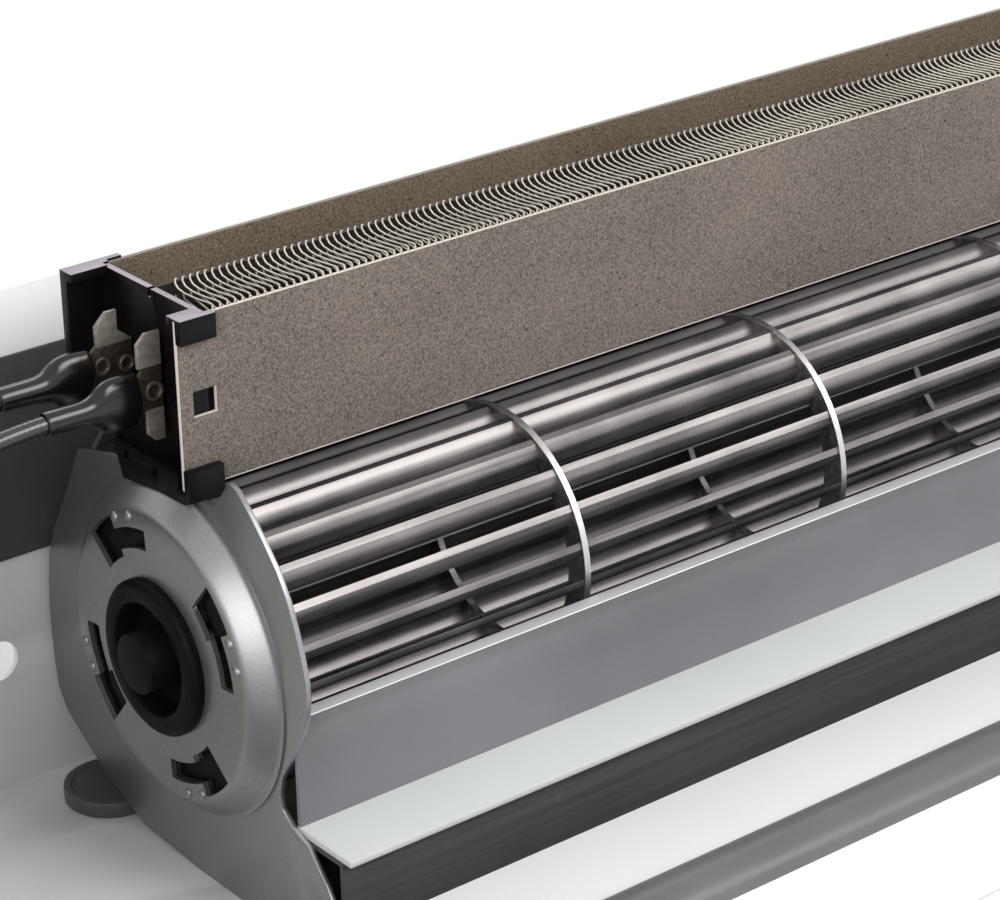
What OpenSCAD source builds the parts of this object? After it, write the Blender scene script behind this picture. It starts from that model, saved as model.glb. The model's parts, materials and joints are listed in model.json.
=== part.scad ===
// Air curtain with its front cover off: a cross-flow blower with a stitched-wire
// heater on its outlet, in a sheet-metal casing. The outlet points up (+Z), the
// wall side is +Y and the impeller turns about X.

/* [Casing] */
// Depth of the casing, from the wall side to the cover side
case_d = 136; // [130:1:170]
// Height of the rear wall over the casing's underside
wall_h = 94; // [88:1:110]
// Thickness of the painted sheet
case_t = 1.2; // [0.8:0.1:1.6]
// Free length of the wiring bay
bay_l = 88; // [84:1:140]
// Free length of the motor bay
motor_bay_l = 100; // [76:1:140]
// Thickness of an end cap
cap_t = 2; // [1.5:0.1:3]
// Distance of the front panel before the impeller's axis
panel_out = 29.3; // [28:0.1:33]
// Height of the flange and of the shelf over the floor
shelf_h = 21; // [19:0.5:23]
// Width of the slot between the flange and the shelf
slot_w = 17.7; // [14:0.1:18]
// Width of the shelf strip
shelf_w = 13.6; // [12:0.1:15]
// Share of the front flange that the grey rail covers
rail_share = 0.38; // [0.3:0.01:0.5]
// Height of the grey rail over the flange
rail_h = 4; // [2:0.5:6]
// Radius of a wall fixing hole
fix_r = 3.75; // [2.5:0.25:4.5]
// Distance of a wall fixing hole past the end of the blower
fix_out = 7; // [5:0.5:15]
// Height of the wall fixing holes over the floor
fix_h = 25; // [12:0.5:34]

/* [Blower] */
// Distance from the impeller's axis to the inside of the rear wall
axis_wall = 44; // [43.5:0.5:55]
// Height of the impeller's axis over the casing floor
axis_h = 42; // [41:0.5:50]
// Outer radius of the impeller's rings
wheel_r = 24; // [23:0.1:24.6]
// Length of one impeller segment
segment_l = 60; // [40:1:80]
// Number of impeller segments
segments = 6; // [3:1:8]
// Number of blades round the impeller
blades = 22; // [18:1:28]
// Thickness of a blade
blade_t = 0.5; // [0.4:0.1:0.8]
// Radial depth of a blade
blade_depth = 4.6; // [4:0.1:5.5]
// Thickness of an impeller ring
ring_t = 1.2; // [0.8:0.1:2]
// Thickness of the galvanised side plates
plate_t = 1; // [0.8:0.1:1.5]
// Distance of a side plate's flat from the end of the blower
plate_x = 3; // [2.5:0.1:3.5]
// Height of the disc pressed out of a side plate
emboss = 4.2; // [3:0.1:4.5]
// Radius of the pressed disc at its foot
disc_r = 28.2; // [27:0.1:28.5]
// Width of the disc's sloping rim
rim_w = 3.4; // [2.5:0.1:4.5]
// Gap between a side plate and the impeller's end disc
end_gap = 5.2; // [3:0.1:8]
// Thickness of the scroll sheet
scroll_t = 0.8; // [0.6:0.1:1.2]
// Gap between the impeller and the start of the scroll
scroll_gap = 2; // [1.5:0.1:3]
// Gap between the impeller and the end of the scroll
scroll_end_gap = 9.5; // [8:0.1:10.5]
// Radius of the shafts
shaft_r = 2.5; // [2:0.1:3]
// Running clearance of the shafts in their bushes
run_gap = 0.03; // [0.02:0.01:0.08]

/* [Heater] */
// Height of the mica boards
mica_h = 29.25; // [24:0.25:34]
// Thickness of the mica boards
mica_t = 0.85; // [0.6:0.05:1.2]
// Height of the boards' lower edge over the axis
mica_z = 31.2; // [30.6:0.1:33]
// Distance of the front board's face before the axis
mica_front_y = 7.25; // [6.5:0.25:8]
// Distance of the middle board's face behind the axis
mica_mid_y = 7; // [6:0.25:8]
// Distance of the rear board's face behind the axis
mica_rear_y = 21.05; // [20.5:0.05:21.5]
// Diameter of the heating wire
wire_d = 0.7; // [0.5:0.05:0.9]
// Loops of the heating wire
wire_loops = 24; // [12:1:24]
// Thickness of the holder's web
web_t = 1.2; // [1:0.1:1.6]
// Width of a tab on the terminals
tab_w = 6.3; // [4.8:0.1:6.5]
// Radius of the sleeved leads
lead_r = 1.9; // [1.5:0.1:2.2]

/* [Motor] */
// Stack height of the stator core
core_t = 22; // [16:1:26]
// Half width of the stator core
core_w = 26; // [24:1:30]
// Radius of the rotor
rotor_r = 14; // [13:0.1:14.4]
// Air gap between rotor and core
rotor_gap = 0.4; // [0.3:0.05:0.5]
// Radius of the cooling fan
fan_r = 24; // [18:1:30]

/* [Hidden] */
$fn = 48;

// One overrun for every cut, and one clearance for pieces pushed into each other
cut = 1;
fit_gap = 0.05;

// Places along the impeller's axis, from the left end of the blower
face_x = plate_x - emboss;
plate_in = plate_x + plate_t;
first_ring = plate_in + end_gap + ring_t / 2;
blower_l = 2 * first_ring + segments * segment_l;
mount_x = blower_l - face_x;
case_l = 2 * cap_t + bay_l + blower_l + motor_bay_l;

// Places across the axis: wall and front of the casing, floor and shelf
floor_z = -axis_h;
shelf_z = floor_z + shelf_h;
back_y = axis_wall + case_t;
front_y = back_y - case_d;
channel_back = -panel_out;
slot_back = channel_back - shelf_w;
flange_w = slot_back - slot_w - case_t - front_y;
rail_w = rail_share * flange_w;
bay_x = -bay_l;
far_x = blower_l + motor_bay_l;

module blower_frame() {
    translate([-case_l / 2 + cap_t + bay_l, case_d / 2 - back_y, case_t + axis_h])
        children();
}

// An outline in Y and Z, drawn out along X from x0 over a length
module along_x(x0, length) {
    translate([x0, 0, 0]) rotate([90, 0, 90]) linear_extrude(height = length) children();
}

// A box from its low corner to its high corner
module span(low, high) {
    translate(low) cube(high - low);
}

// A round bar along X at a place in Y and Z
module bar_x(x0, x1, r, y = 0, z = 0) {
    translate([x0, y, z]) rotate([0, 90, 0]) cylinder(r = r, h = x1 - x0);
}

module mirrored() {
    translate([blower_l, 0, 0]) mirror([1, 0, 0]) children();
}

function mix(a, b, t) = a + (b - a) * t;
function corners_cut(p) = [
    for (i = [0:len(p) - 1])
        each [mix(p[i], p[(i + 1) % len(p)], 0.25), mix(p[i], p[(i + 1) % len(p)], 0.75)]
];
function route_cut(p) = concat(
    [p[0]],
    [for (i = [0:len(p) - 2]) each [mix(p[i], p[i + 1], 0.25), mix(p[i], p[i + 1], 0.75)]],
    [p[len(p) - 1]]
);

function unit(v) = v / norm(v);
function heading(p, i) = unit(p[min(i + 1, len(p) - 1)] - p[max(i - 1, 0)]);
function sides_of(p) = [
    for (i = 0, n = unit(cross(heading(p, 0), [0.3, 0.9, 0.2]));
         i < len(p);
         i = i + 1, n = unit(n - (n * heading(p, min(i, len(p) - 1))) * heading(p, min(i, len(p) - 1))))
        n
];

// A round tube of triangles along the points p
module tube(p, r, sides) {
    n = sides_of(p);
    last = len(p) - 1;
    points = [
        for (i = [0:last])
            for (k = [0:sides - 1])
                p[i] + r * (n[i] * cos(360 * k / sides)
                    + cross(heading(p, i), n[i]) * sin(360 * k / sides))
    ];
    faces = concat(
        [for (i = [0:last - 1]) for (k = [0:sides - 1])
            each [
                [i * sides + k, (i + 1) * sides + k, i * sides + (k + 1) % sides],
                [i * sides + (k + 1) % sides, (i + 1) * sides + k, (i + 1) * sides + (k + 1) % sides]
            ]],
        [for (k = [1:sides - 2]) [0, k, k + 1]],
        [for (k = [1:sides - 2]) [last * sides, last * sides + k + 1, last * sides + k]]
    );
    polyhedron(points, faces, convexity = 10);
}

module screw(shank_r, shank_l, head_r, head_h) {
    translate([0, 0, -shank_l]) cylinder(r = shank_r, h = shank_l);
    cylinder(r = head_r, h = head_h);
}

// Casing values
hem = 6;
cover_clear = 3.5;
cover_z = mica_z + mica_h + cover_clear;
screw_r = 1.5;
screw_head_r = 2.8;
screw_head_h = 1.6;
lug_w = 12;
lug_d = 10;
lug_y = [0.68 * front_y, 0.55 * axis_wall];
plug_r = 8.5;
plug_x = 5.5;
plug_y = 30;
plug_hole_r = 7;
plug_t = 2.8;
grommet_r = 6;
grommet_bore_r = 4;
grommet_y = 12;
grommet_z = -20;
shield_t = 0.8;
shield_low = 2;
shield_high = 39;

module lug_places() {
    for (y = lug_y)
        for (x = [bay_x + lug_d / 2, far_x - lug_d / 2])
            translate([x, y, floor_z]) children();
}

module foot_places() {
    for (y = foot_y)
        for (x = [plate_in + foot_w / 2, blower_l - plate_in - foot_w / 2])
            translate([x, y, floor_z]) children();
}

// Tray of the casing: rear wall, floor, front wall and folded flange
module case_shell() {
    color("white") difference() {
        along_x(bay_x, far_x - bay_x) polygon([
            [back_y, floor_z - case_t], [back_y, floor_z - case_t + wall_h],
            [axis_wall, floor_z - case_t + wall_h], [axis_wall, floor_z],
            [front_y + case_t, floor_z], [front_y + case_t, shelf_z - case_t],
            [front_y + flange_w, shelf_z - case_t], [front_y + flange_w, shelf_z - hem],
            [front_y + flange_w + case_t, shelf_z - hem], [front_y + flange_w + case_t, shelf_z],
            [front_y, shelf_z], [front_y, floor_z - case_t]
        ]);
        for (x = [-fix_out, blower_l + fix_out])
            translate([x, axis_wall - cut, floor_z + fix_h]) rotate([-90, 0, 0])
                cylinder(r = fix_r, h = case_t + 2 * cut);
        translate([plug_x, plug_y, floor_z - case_t - cut])
            cylinder(r = plug_hole_r + fit_gap, h = case_t + 2 * cut);
        lug_places() translate([0, 0, -case_t - cut]) cylinder(r = screw_r + fit_gap, h = case_t + 2 * cut);
        foot_places() translate([0, 0, -case_t - cut]) cylinder(r = screw_r + fit_gap, h = case_t + 2 * cut);
    }
}

// End cap with the outline of the missing cover and two lugs on the floor
module end_cap(x0) {
    cap_front_shares = [[0.145, 1], [0.39, 0.86], [0.785, 0.32], [0.93, -0.05]];
    rear_top = [[back_y, floor_z - case_t + wall_h], [0.62 * axis_wall, cover_z]];
    side = [for (s = cap_front_shares) [s[0] * front_y, s[1] * cover_z]];
    front = [[front_y, shelf_z], [front_y, floor_z - case_t], [back_y, floor_z - case_t]];
    along_x(x0, cap_t) polygon(concat(rear_top, side, front));
}

module cap_lug(x0) {
    for (y = lug_y)
        difference() {
            span([x0, y - lug_w / 2, floor_z], [x0 + lug_d, y + lug_w / 2, floor_z + cap_t]);
            translate([x0 + lug_d / 2, y, floor_z - cut]) cylinder(r = screw_r + fit_gap, h = cap_t + 2 * cut);
        }
}

module end_cap_left() {
    color("white") difference() {
        union() {
            end_cap(bay_x - cap_t);
            cap_lug(bay_x);
        }
        bar_x(bay_x - cap_t - cut, bay_x + cut, grommet_r + fit_gap, grommet_y, grommet_z);
    }
}

module end_cap_right() {
    color("white") {
        end_cap(far_x);
        cap_lug(far_x - lug_d);
    }
}

module cap_screws() {
    color("silver") lug_places() translate([0, 0, cap_t])
        screw(screw_r, cap_t + case_t, screw_head_r, screw_head_h);
}

// Rounded grey rail on the outer edge of the front flange
module edge_rail() {
    color("gray") along_x(bay_x, far_x - bay_x) translate([front_y + rail_w / 2, shelf_z])
        polygon([for (a = [0:15:180]) [cos(a) * rail_w / 2, sin(a) * rail_h]]);
}

// Galvanised channel under the shelf, which carries the front panel
channel_t = 1;
module base_channel() {
    top = shelf_z - case_t;
    color("slategray") along_x(plate_in, blower_l - 2 * plate_in) polygon([
        [slot_back + channel_t, floor_z], [slot_back + channel_t, top], [channel_back, top],
        [channel_back, floor_z], [channel_back - channel_t, floor_z],
        [channel_back - channel_t, top - channel_t], [slot_back + 2 * channel_t, top - channel_t],
        [slot_back + 2 * channel_t, floor_z]
    ]);
}

// Painted strip on top of the channel
module shelf_strip() {
    color("white") along_x(plate_in, blower_l - 2 * plate_in) polygon([
        [slot_back, shelf_z], [channel_back, shelf_z], [channel_back, shelf_z - case_t],
        [slot_back + channel_t, shelf_z - case_t], [slot_back + channel_t, shelf_z - hem],
        [slot_back, shelf_z - hem]
    ]);
}

module rear_shield() {
    color("dimgray") span(
        [bay_x, axis_wall - shield_t, shield_low], [far_x, axis_wall, shield_high]);
}

module blanking_plug() {
    color("dimgray") translate([plug_x, plug_y, floor_z]) {
        cylinder(r = plug_r, h = plug_t);
        translate([0, 0, -case_t]) cylinder(r = plug_hole_r, h = case_t);
    }
}

// Grommet where the supply cable enters the wiring bay
module cable_grommet() {
    lip = 1.5;
    color("black") difference() {
        union() {
            bar_x(bay_x - cap_t, bay_x, grommet_r, grommet_y, grommet_z);
            bar_x(bay_x, bay_x + lip, grommet_r + lip, grommet_y, grommet_z);
        }
        bar_x(bay_x - cap_t - cut, bay_x + lip + cut, grommet_bore_r, grommet_y, grommet_z);
    }
}

// Side plate values
plate_reach = 40;
top_margin = 0.6;
plate_top = disc_r + top_margin;
foot_w = 12;
foot_y = [-24, -10];
hub_hole_r = 11;
lead_hole_r = 2.6;
lead_y = -38;
lead_z = -36.5;
rear_edge_shares = [
    [0.84, 0.41], [1.02, 0.11], [1.065, -0.16], [1.065, -0.43], [1.03, -0.67],
    [0.84, -0.8], [0.65, -0.92]
];
front_edge_shares = [
    [-0.9, -0.58], [-0.68, -0.5], [-0.66, -0.36], [-0.77, -0.18], [-0.865, -0.02], [-0.895, 0.15],
    [-0.85, 0.34], [-0.76, 0.57], [-0.59, 0.765], [-0.43, 0.91], [-0.375, 0.84]
];
foot_edge_shares = [0.32, -1.17];
foot_end_share = -0.12;
plate_outline = concat(
    [[0.685 * plate_reach, plate_top]],
    [for (s = rear_edge_shares) s * plate_reach],
    [for (s = foot_edge_shares) [s * plate_reach, floor_z]],
    [for (s = front_edge_shares) s * plate_reach],
    [[-0.275 * plate_reach, plate_top]]
);

// Sheet with a disc pressed outwards, as on both ends of the blower
module plate_sheet() {
    along_x(plate_x, plate_t) difference() {
        polygon(corners_cut(plate_outline));
        circle(r = disc_r - plate_t);
    }
    translate([face_x, 0, 0]) rotate([90, 0, 90]) rotate_extrude() polygon([
        [hub_hole_r, 0], [disc_r - rim_w, 0], [disc_r, emboss], [disc_r, emboss + plate_t],
        [disc_r - plate_t, emboss + plate_t], [disc_r - rim_w - plate_t / 2, plate_t], [hub_hole_r, plate_t]
    ]);
    difference() {
        span([plate_x, channel_back + fit_gap, floor_z],
            [plate_in + foot_w, foot_end_share * plate_reach, floor_z + plate_t]);
        foot_places() translate([0, 0, -cut]) cylinder(r = screw_r + fit_gap, h = plate_t + 2 * cut);
    }
}

// Bayonet slot of the bearing plate: a wide and a narrow opening in one
module arc_patch(r0, r1, a0, a1) {
    steps = 6;
    polygon(concat(
        [for (i = [0:steps]) r1 * [cos(mix(a0, a1, i / steps)), sin(mix(a0, a1, i / steps))]],
        [for (i = [steps:-1:0]) r0 * [cos(mix(a0, a1, i / steps)), sin(mix(a0, a1, i / steps))]]
    ));
}

module bayonet_slot() {
    wide_shares = [0.63, 0.86];
    narrow_shares = [0.65, 0.77];
    arc_patch(wide_shares[0] * disc_r, wide_shares[1] * disc_r, -11, 10);
    arc_patch(narrow_shares[0] * disc_r, narrow_shares[1] * disc_r, 9, 34);
}

module side_plate_left() {
    color("silver") difference() {
        plate_sheet();
        for (a = [50:90:320])
            along_x(face_x - cut, 2 * cut + plate_t) rotate(a) bayonet_slot();
        bar_x(plate_x - cut, plate_in + cut, lead_hole_r, lead_y, lead_z);
    }
}

module side_plate_right() {
    color("silver") difference() {
        mirrored() plate_sheet();
        bar_x(blower_l - plate_in - cut, blower_l, lead_hole_r, lead_y, lead_z);
        for (a = bolt_angles)
            bar_x(mount_x - plate_t - cut, mount_x + cut, screw_r + fit_gap,
                flange_pcr * cos(a), flange_pcr * sin(a));
    }
}

module plate_screws() {
    color("silver") foot_places() translate([0, 0, plate_t])
        screw(screw_r, plate_t + case_t, screw_head_r, screw_head_h);
}

// Scroll behind the impeller, which opens out towards the heater
module scroll_shell() {
    a0 = -118;
    a1 = 36;
    steps = 22;
    rear_face = mica_rear_y + mica_t;
    low = wheel_r + scroll_gap;
    high = wheel_r + scroll_end_gap;
    arc = [for (i = [0:steps]) let (a = mix(a0, a1, i / steps), r = mix(low, high, i / steps))
        [r * cos(a), r * sin(a)]];
    skin = [for (i = [0:steps]) let (a = mix(a0, a1, i / steps), r = mix(low, high, i / steps) + scroll_t)
        [r * cos(a), r * sin(a)]];
    flange = [
        [rear_face + 0.1 * mica_h, mica_z - 0.15 * mica_h], [rear_face, mica_z - 0.02 * mica_h],
        [rear_face, mica_z + 0.2 * mica_h], [rear_face + scroll_t, mica_z + 0.2 * mica_h],
        [rear_face + scroll_t, mica_z], [rear_face + 0.1 * mica_h + scroll_t, mica_z - 0.13 * mica_h]
    ];
    color("silver") along_x(plate_in, blower_l - 2 * plate_in)
        polygon(concat(arc, flange, [for (i = [steps:-1:0]) skin[i]]));
}

// Front panel that guides the air in, with its folded lip
panel_t = 0.8;
panel_gap = 0.3;
panel_y = channel_back - panel_gap;
panel_share = 0.96;
lip_w = 3;
module front_panel() {
    top = shelf_z + panel_share * shelf_h;
    color("lightsteelblue") along_x(plate_in, blower_l - 2 * plate_in) polygon([
        [panel_y - panel_t, shelf_z], [panel_y - panel_t, top - lip_w / 2], [panel_y - lip_w / 2, top],
        [panel_y + lip_w / 2, top], [panel_y + lip_w / 2, top - panel_t],
        [panel_y - lip_w / 4, top - panel_t], [panel_y, top - lip_w / 2], [panel_y, shelf_z]
    ]);
}

// Rubber mount: flange on the disc, cup and a closed nose over the bush
mount_r = 13.5;
mount_face = 2.6;
mount_edge = 0.8;
cup_r = 9;
cup_web = 1.4;
inner_lip = 1.5;
nose_r = 5.2;
nose_out = 5.2;
bush_r = 3.9;
bush_in = 5;
nose_wall = 1.2;
module bearing_mount() {
    color("black") translate([face_x, 0, 0]) rotate([90, 0, 90]) rotate_extrude() polygon([
        [0, -nose_out], [nose_r, -nose_out], [nose_r, plate_t + mount_edge],
        [cup_r, plate_t + mount_edge], [cup_r + mount_edge, -mount_face],
        [mount_r - mount_edge, -mount_face], [mount_r, -mount_face + mount_edge], [mount_r, -fit_gap],
        [hub_hole_r - fit_gap, -fit_gap], [hub_hole_r - fit_gap, plate_t + fit_gap],
        [hub_hole_r + inner_lip, plate_t + fit_gap], [hub_hole_r + inner_lip, plate_t + mount_edge + cup_web],
        [nose_r, plate_t + mount_edge + cup_web], [nose_r, bush_in],
        [bush_r + fit_gap, bush_in], [bush_r + fit_gap, -nose_out + nose_wall], [0, -nose_out + nose_wall]
    ]);
}

module bearing_bush() {
    color("peru") translate([face_x, 0, 0]) difference() {
        bar_x(-nose_out + 2 * nose_wall, bush_in, bush_r);
        bar_x(-nose_out - cut, bush_in + cut, shaft_r + run_gap);
    }
}

// Mica boards
board_in = 1;
web_x = 5.7;
web_in = web_x + web_t;
mica_top = mica_z + mica_h;
eye = 4.3;
eye_share = 0.42;
module board(x0, x1, y) {
    span([x0, y, mica_z], [x1, y + mica_t, mica_top]);
}

module mica_front() {
    color("tan") difference() {
        board(board_in, blower_l - board_in, -mica_front_y);
        for (x = [web_x - eye / 2, blower_l - web_x - eye / 2])
            span([x, -mica_front_y - cut, mica_z + eye_share * mica_h],
                [x + eye, -mica_front_y + mica_t + cut, mica_z + eye_share * mica_h + eye]);
    }
}

module mica_middle() {
    color("tan") board(web_in, blower_l - web_in, mica_mid_y);
}

module mica_rear() {
    color("tan") board(web_in, blower_l - web_in, mica_rear_y);
}

// Heating wire: one tube that loops over the front and the middle board
wire_r = wire_d / 2;
wire_rest = mica_top + wire_r + fit_gap / 2;
wire_x0 = web_in + 6 * wire_d;
wire_x1 = blower_l - web_in - 8 * wire_d;
wire_pitch = (wire_x1 - wire_x0) / wire_loops;
wire_front = -mica_front_y + mica_t / 2;
wire_back = mica_mid_y + mica_t / 2;
loop_rings = 24;
front_tail_y = mix(wire_front, wire_back, 0.45);
rear_tail_y = mica_mid_y + mica_t + 2 * wire_d;
tail_low = mica_z + 0.32 * mica_h;

function loop_point(t) =
    let (turn = 360 * t, side = -cos(turn), reach = sign(side) * pow(abs(side), 0.45))
    [
        wire_x0 + wire_pitch * (t + 0.055 * sin(2 * turn)),
        mix(wire_front, wire_back, (1 + reach) / 2),
        wire_rest + wire_r * (1 + reach) / 2
    ];

wire_start = [
    [web_in + wire_r, front_tail_y, mica_z + 0.4 * mica_h],
    [web_in + 3 * wire_r, front_tail_y, mica_z + 0.45 * mica_h],
    [web_in + 4 * wire_r, front_tail_y, mica_z + 0.9 * mica_h],
    [web_in + 5 * wire_r, mix(front_tail_y, wire_front, 0.3), wire_rest - wire_r]
];
wire_end_x = wire_x1 + wire_r;
wire_return = [
    [wire_end_x + 4 * wire_r, mix(wire_back, rear_tail_y, 0.4), wire_rest + wire_r],
    [wire_end_x + 6 * wire_r, rear_tail_y, mica_top - 2 * wire_r],
    [wire_end_x + 6 * wire_r, rear_tail_y, tail_low + 4 * wire_r],
    [wire_end_x + 2 * wire_r, rear_tail_y, tail_low],
    [web_in + 8 * wire_r, rear_tail_y, tail_low],
    [web_in + wire_r, rear_tail_y, tail_low]
];
wire_points = concat(
    route_cut(wire_start),
    [for (i = [0:loop_rings * (wire_loops - 0.5)]) loop_point(i / loop_rings)],
    route_cut(wire_return)
);
wire_gaps = [
    for (i = [0:2:len(wire_points) - 10]) for (j = [i + 10:2:len(wire_points) - 1])
        norm(wire_points[i] - wire_points[j]) - wire_d
];

module heating_wire() {
    echo(least_gap_of_the_wire_to_itself = min(wire_gaps));
    color("silver") tube(wire_points, wire_r, 6);
}

// Heater holder: web, posts and clips round the boards
clip_t = 1.5;
clip_l = 6.8;
clip_out = 0.2;
top_lip = 0.4;
arm_out = 1.2;
arm_t = 2;
holder_low = 0.18;
skirt_t = 1.4;
skirt_gap = 0.4;
skirt_shares = [[-0.22, 0.993], [0.025, 0.988], [0.41, 0.941], [0.5, 1.16]];
module heater_holder() {
    web_front = -mica_front_y + mica_t;
    clip_front = -mica_front_y - clip_t;
    clip_x = [board_in - clip_out, board_in - clip_out + clip_l];
    top = mica_top + top_lip;
    arm_low = mica_z + 0.2 * mica_h;
    skirt_x = plate_x - skirt_gap - skirt_t;
    difference() {
        union() {
            along_x(web_x, web_t) polygon([
                [web_front, mica_z - holder_low * mica_h / 2], [web_front, mica_top],
                [mica_rear_y, mica_top], [mica_rear_y, mica_z], [mica_rear_y - clip_t, plate_top],
                [mica_rear_y - 2 * clip_t, mica_z - holder_low * mica_h],
                [web_front + 2 * clip_t, mica_z - holder_low * mica_h]
            ]);
            // Skirt in front of the side plate, over the top of its disc
            along_x(skirt_x, skirt_t) polygon([
                [clip_front, mica_z - clip_t], for (s = skirt_shares) s * plate_top,
                [web_front + clip_t, skirt_shares[3][1] * plate_top], [web_front + clip_t, mica_z],
                [clip_front, mica_z]
            ]);
        }
        span([web_x - cut, mica_mid_y, mica_top - clip_t], [web_in + cut, mica_mid_y + mica_t, mica_top + cut]);
        for (y = [0.06, 0.46])
            span([skirt_x - cut, y * mica_rear_y, plate_top + clip_t + top_margin],
                [skirt_x + skirt_t + cut, y * mica_rear_y + clip_t, plate_top + 2 * clip_t + top_margin]);
    }
    // Front post with the top clip and the foot that hold the front board
    span([board_in + clip_t, web_front, mica_z], [web_x, web_front + clip_t, mica_top]);
    span([clip_x[0], web_front, mica_top - clip_t], [board_in + clip_t, web_front + clip_t, mica_top]);
    span([clip_x[0], clip_front, mica_top], [web_x, web_front + clip_t, top]);
    span([clip_x[0], clip_front, mica_top - 0.13 * mica_h], [clip_x[1], -mica_front_y, top]);
    span([clip_x[0], clip_front, mica_z - clip_t], [clip_x[1], web_front + clip_t, mica_z]);
    span([clip_x[0], clip_front, mica_z - clip_t], [clip_x[1], -mica_front_y, mica_z + 0.13 * mica_h]);
    // Rear arm with its clip behind the rear board
    span([-arm_out, mica_rear_y, arm_low], [web_in, mica_rear_y + arm_t, top]);
    span([-arm_out, mica_rear_y - clip_t, top - clip_t], [web_x, mica_rear_y, top]);
    span([web_in, mica_rear_y + mica_t, arm_low], [web_in + 2 * clip_t, mica_rear_y + arm_t, top]);
    // Ledge that seats on the top edge of the side plate
    span([skirt_x, web_front, plate_top], [web_x, skirt_shares[2][0] * plate_top, plate_top + clip_t]);
}

module rivet_holes() {
    for (c = terminal_y)
        bar_x(web_x - cut, web_in + cut, rivet_r + fit_gap, c - rivet_shift, rivet_z);
}

module heater_holder_left() {
    color("black") difference() {
        heater_holder();
        rivet_holes();
    }
}

module heater_holder_right() {
    color("black") mirrored() heater_holder();
}

// Terminals: plate on the web, rivet and a tab that points into the wiring bay
terminal_w = 9;
terminal_t = 0.8;
terminal_y = [16.2, 3.5];
terminal_low = 34;
terminal_high = 53.5;
tab_shift = 2.4;
tab_z = 41.5;
tab_end = -6;
rivet_r = 1.4;
rivet_head_r = 2.1;
rivet_head_t = 0.6;
rivet_z = 43;
rivet_shift = 1.6;
module terminal(c) {
    chamfer = terminal_w / 4;
    difference() {
        along_x(web_x - terminal_t, terminal_t) polygon([
            [c - terminal_w / 2, terminal_low + chamfer], [c - terminal_w / 2 + chamfer, terminal_low],
            [c + terminal_w / 2 - chamfer, terminal_low], [c + terminal_w / 2, terminal_low + chamfer],
            [c + terminal_w / 2, terminal_high - 2 * chamfer], [c + terminal_w / 4, terminal_high],
            [c - terminal_w / 4, terminal_high], [c - terminal_w / 2, terminal_high - 2 * chamfer]
        ]);
        bar_x(web_x - terminal_t - cut, web_x + cut, rivet_r + fit_gap, c - rivet_shift, rivet_z);
    }
    span([tab_end, c + tab_shift - terminal_t / 2, tab_z - tab_w / 2],
        [web_x - terminal_t, c + tab_shift + terminal_t / 2, tab_z + tab_w / 2]);
}

module terminal_rear() {
    color("lightgray") terminal(terminal_y[0]);
}

module terminal_front() {
    color("lightgray") terminal(terminal_y[1]);
}

module terminal_rivets() {
    head_t = rivet_head_t;
    color("lightgray") for (c = terminal_y)
        difference() {
            union() {
                bar_x(web_x - terminal_t, web_in, rivet_r, c - rivet_shift, rivet_z);
                bar_x(web_x - terminal_t - head_t, web_x - terminal_t, rivet_head_r, c - rivet_shift, rivet_z);
                bar_x(web_in, web_in + head_t / 2, rivet_head_r, c - rivet_shift, rivet_z);
            }
            bar_x(web_x - terminal_t - head_t - cut, web_x, rivet_r / 2, c - rivet_shift, rivet_z);
        }
}

// Insulating boot over a tab, necked down to the lead
boot_x = 3;
boot_neck = -10.5;
boot_h = 9;
boot_w = 4.2;
module boot(c) {
    y = c + tab_shift;
    color("black") difference() {
        hull() {
            for (s = [-1, 1])
                bar_x(tab_end, boot_x, boot_w / 2, y, tab_z + s * (boot_h - boot_w) / 2, $fn = 24);
            bar_x(boot_neck, tab_end, lead_r + 2 * fit_gap, y, tab_z, $fn = 24);
        }
        span([tab_end - fit_gap, y - terminal_t / 2 - fit_gap, tab_z - tab_w / 2 - fit_gap],
            [boot_x + cut, y + terminal_t / 2 + fit_gap, tab_z + tab_w / 2 + fit_gap]);
    }
}

module boot_rear() {
    boot(terminal_y[0]);
}

module boot_front() {
    boot(terminal_y[1]);
}

// Terminal block values
block_gap = 1;
block_x = bay_x + lug_d + block_gap;
block_l = 36;
block_y = 10;
block_d = 22;
block_h = 18;
block_ways = 3;
block_screw_r = 2;
way_l = block_l / block_ways;
way_z = floor_z + 0.35 * block_h;
block_top = floor_z + block_h;
block_mid = block_y + block_d / 2;

// Leads from the boots down to the terminal block
rear_way_x = block_x + 1.5 * way_l;
front_way_x = block_x + 0.5 * way_l;
lead_rear_y = terminal_y[0] + tab_shift;
lead_front_y = terminal_y[1] + tab_shift;
lead_rear_route = [
    [boot_neck, lead_rear_y, tab_z], [0.27 * bay_x, lead_rear_y, tab_z],
    [0.48 * bay_x, 0.9 * block_mid, tab_z], [rear_way_x + lead_r, 0.95 * block_mid, 0.8 * tab_z],
    [rear_way_x, block_mid, 0.3 * tab_z], [rear_way_x, block_mid, -0.2 * tab_z],
    [rear_way_x, block_mid, block_top]
];
lead_front_route = [
    [boot_neck, lead_front_y, tab_z], [0.27 * bay_x, lead_front_y, tab_z],
    [0.5 * bay_x, 0.3 * block_mid, 0.97 * tab_z], [0.9 * front_way_x, 0.5 * block_mid, 0.8 * tab_z],
    [front_way_x, 0.75 * block_mid, 0.25 * tab_z], [front_way_x, block_mid, -0.2 * tab_z],
    [front_way_x, block_mid, block_top]
];

module lead_rear() {
    color("black") tube(route_cut(route_cut(lead_rear_route)), lead_r, 8);
}

module lead_front() {
    color("black") tube(route_cut(route_cut(lead_front_route)), lead_r, 8);
}

// Terminal block on the floor of the wiring bay
module block_places() {
    for (i = [0:block_ways - 1])
        translate([block_x + way_l * (i + 0.5), block_y + 0.25 * block_d, floor_z + block_h]) children();
}

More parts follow.
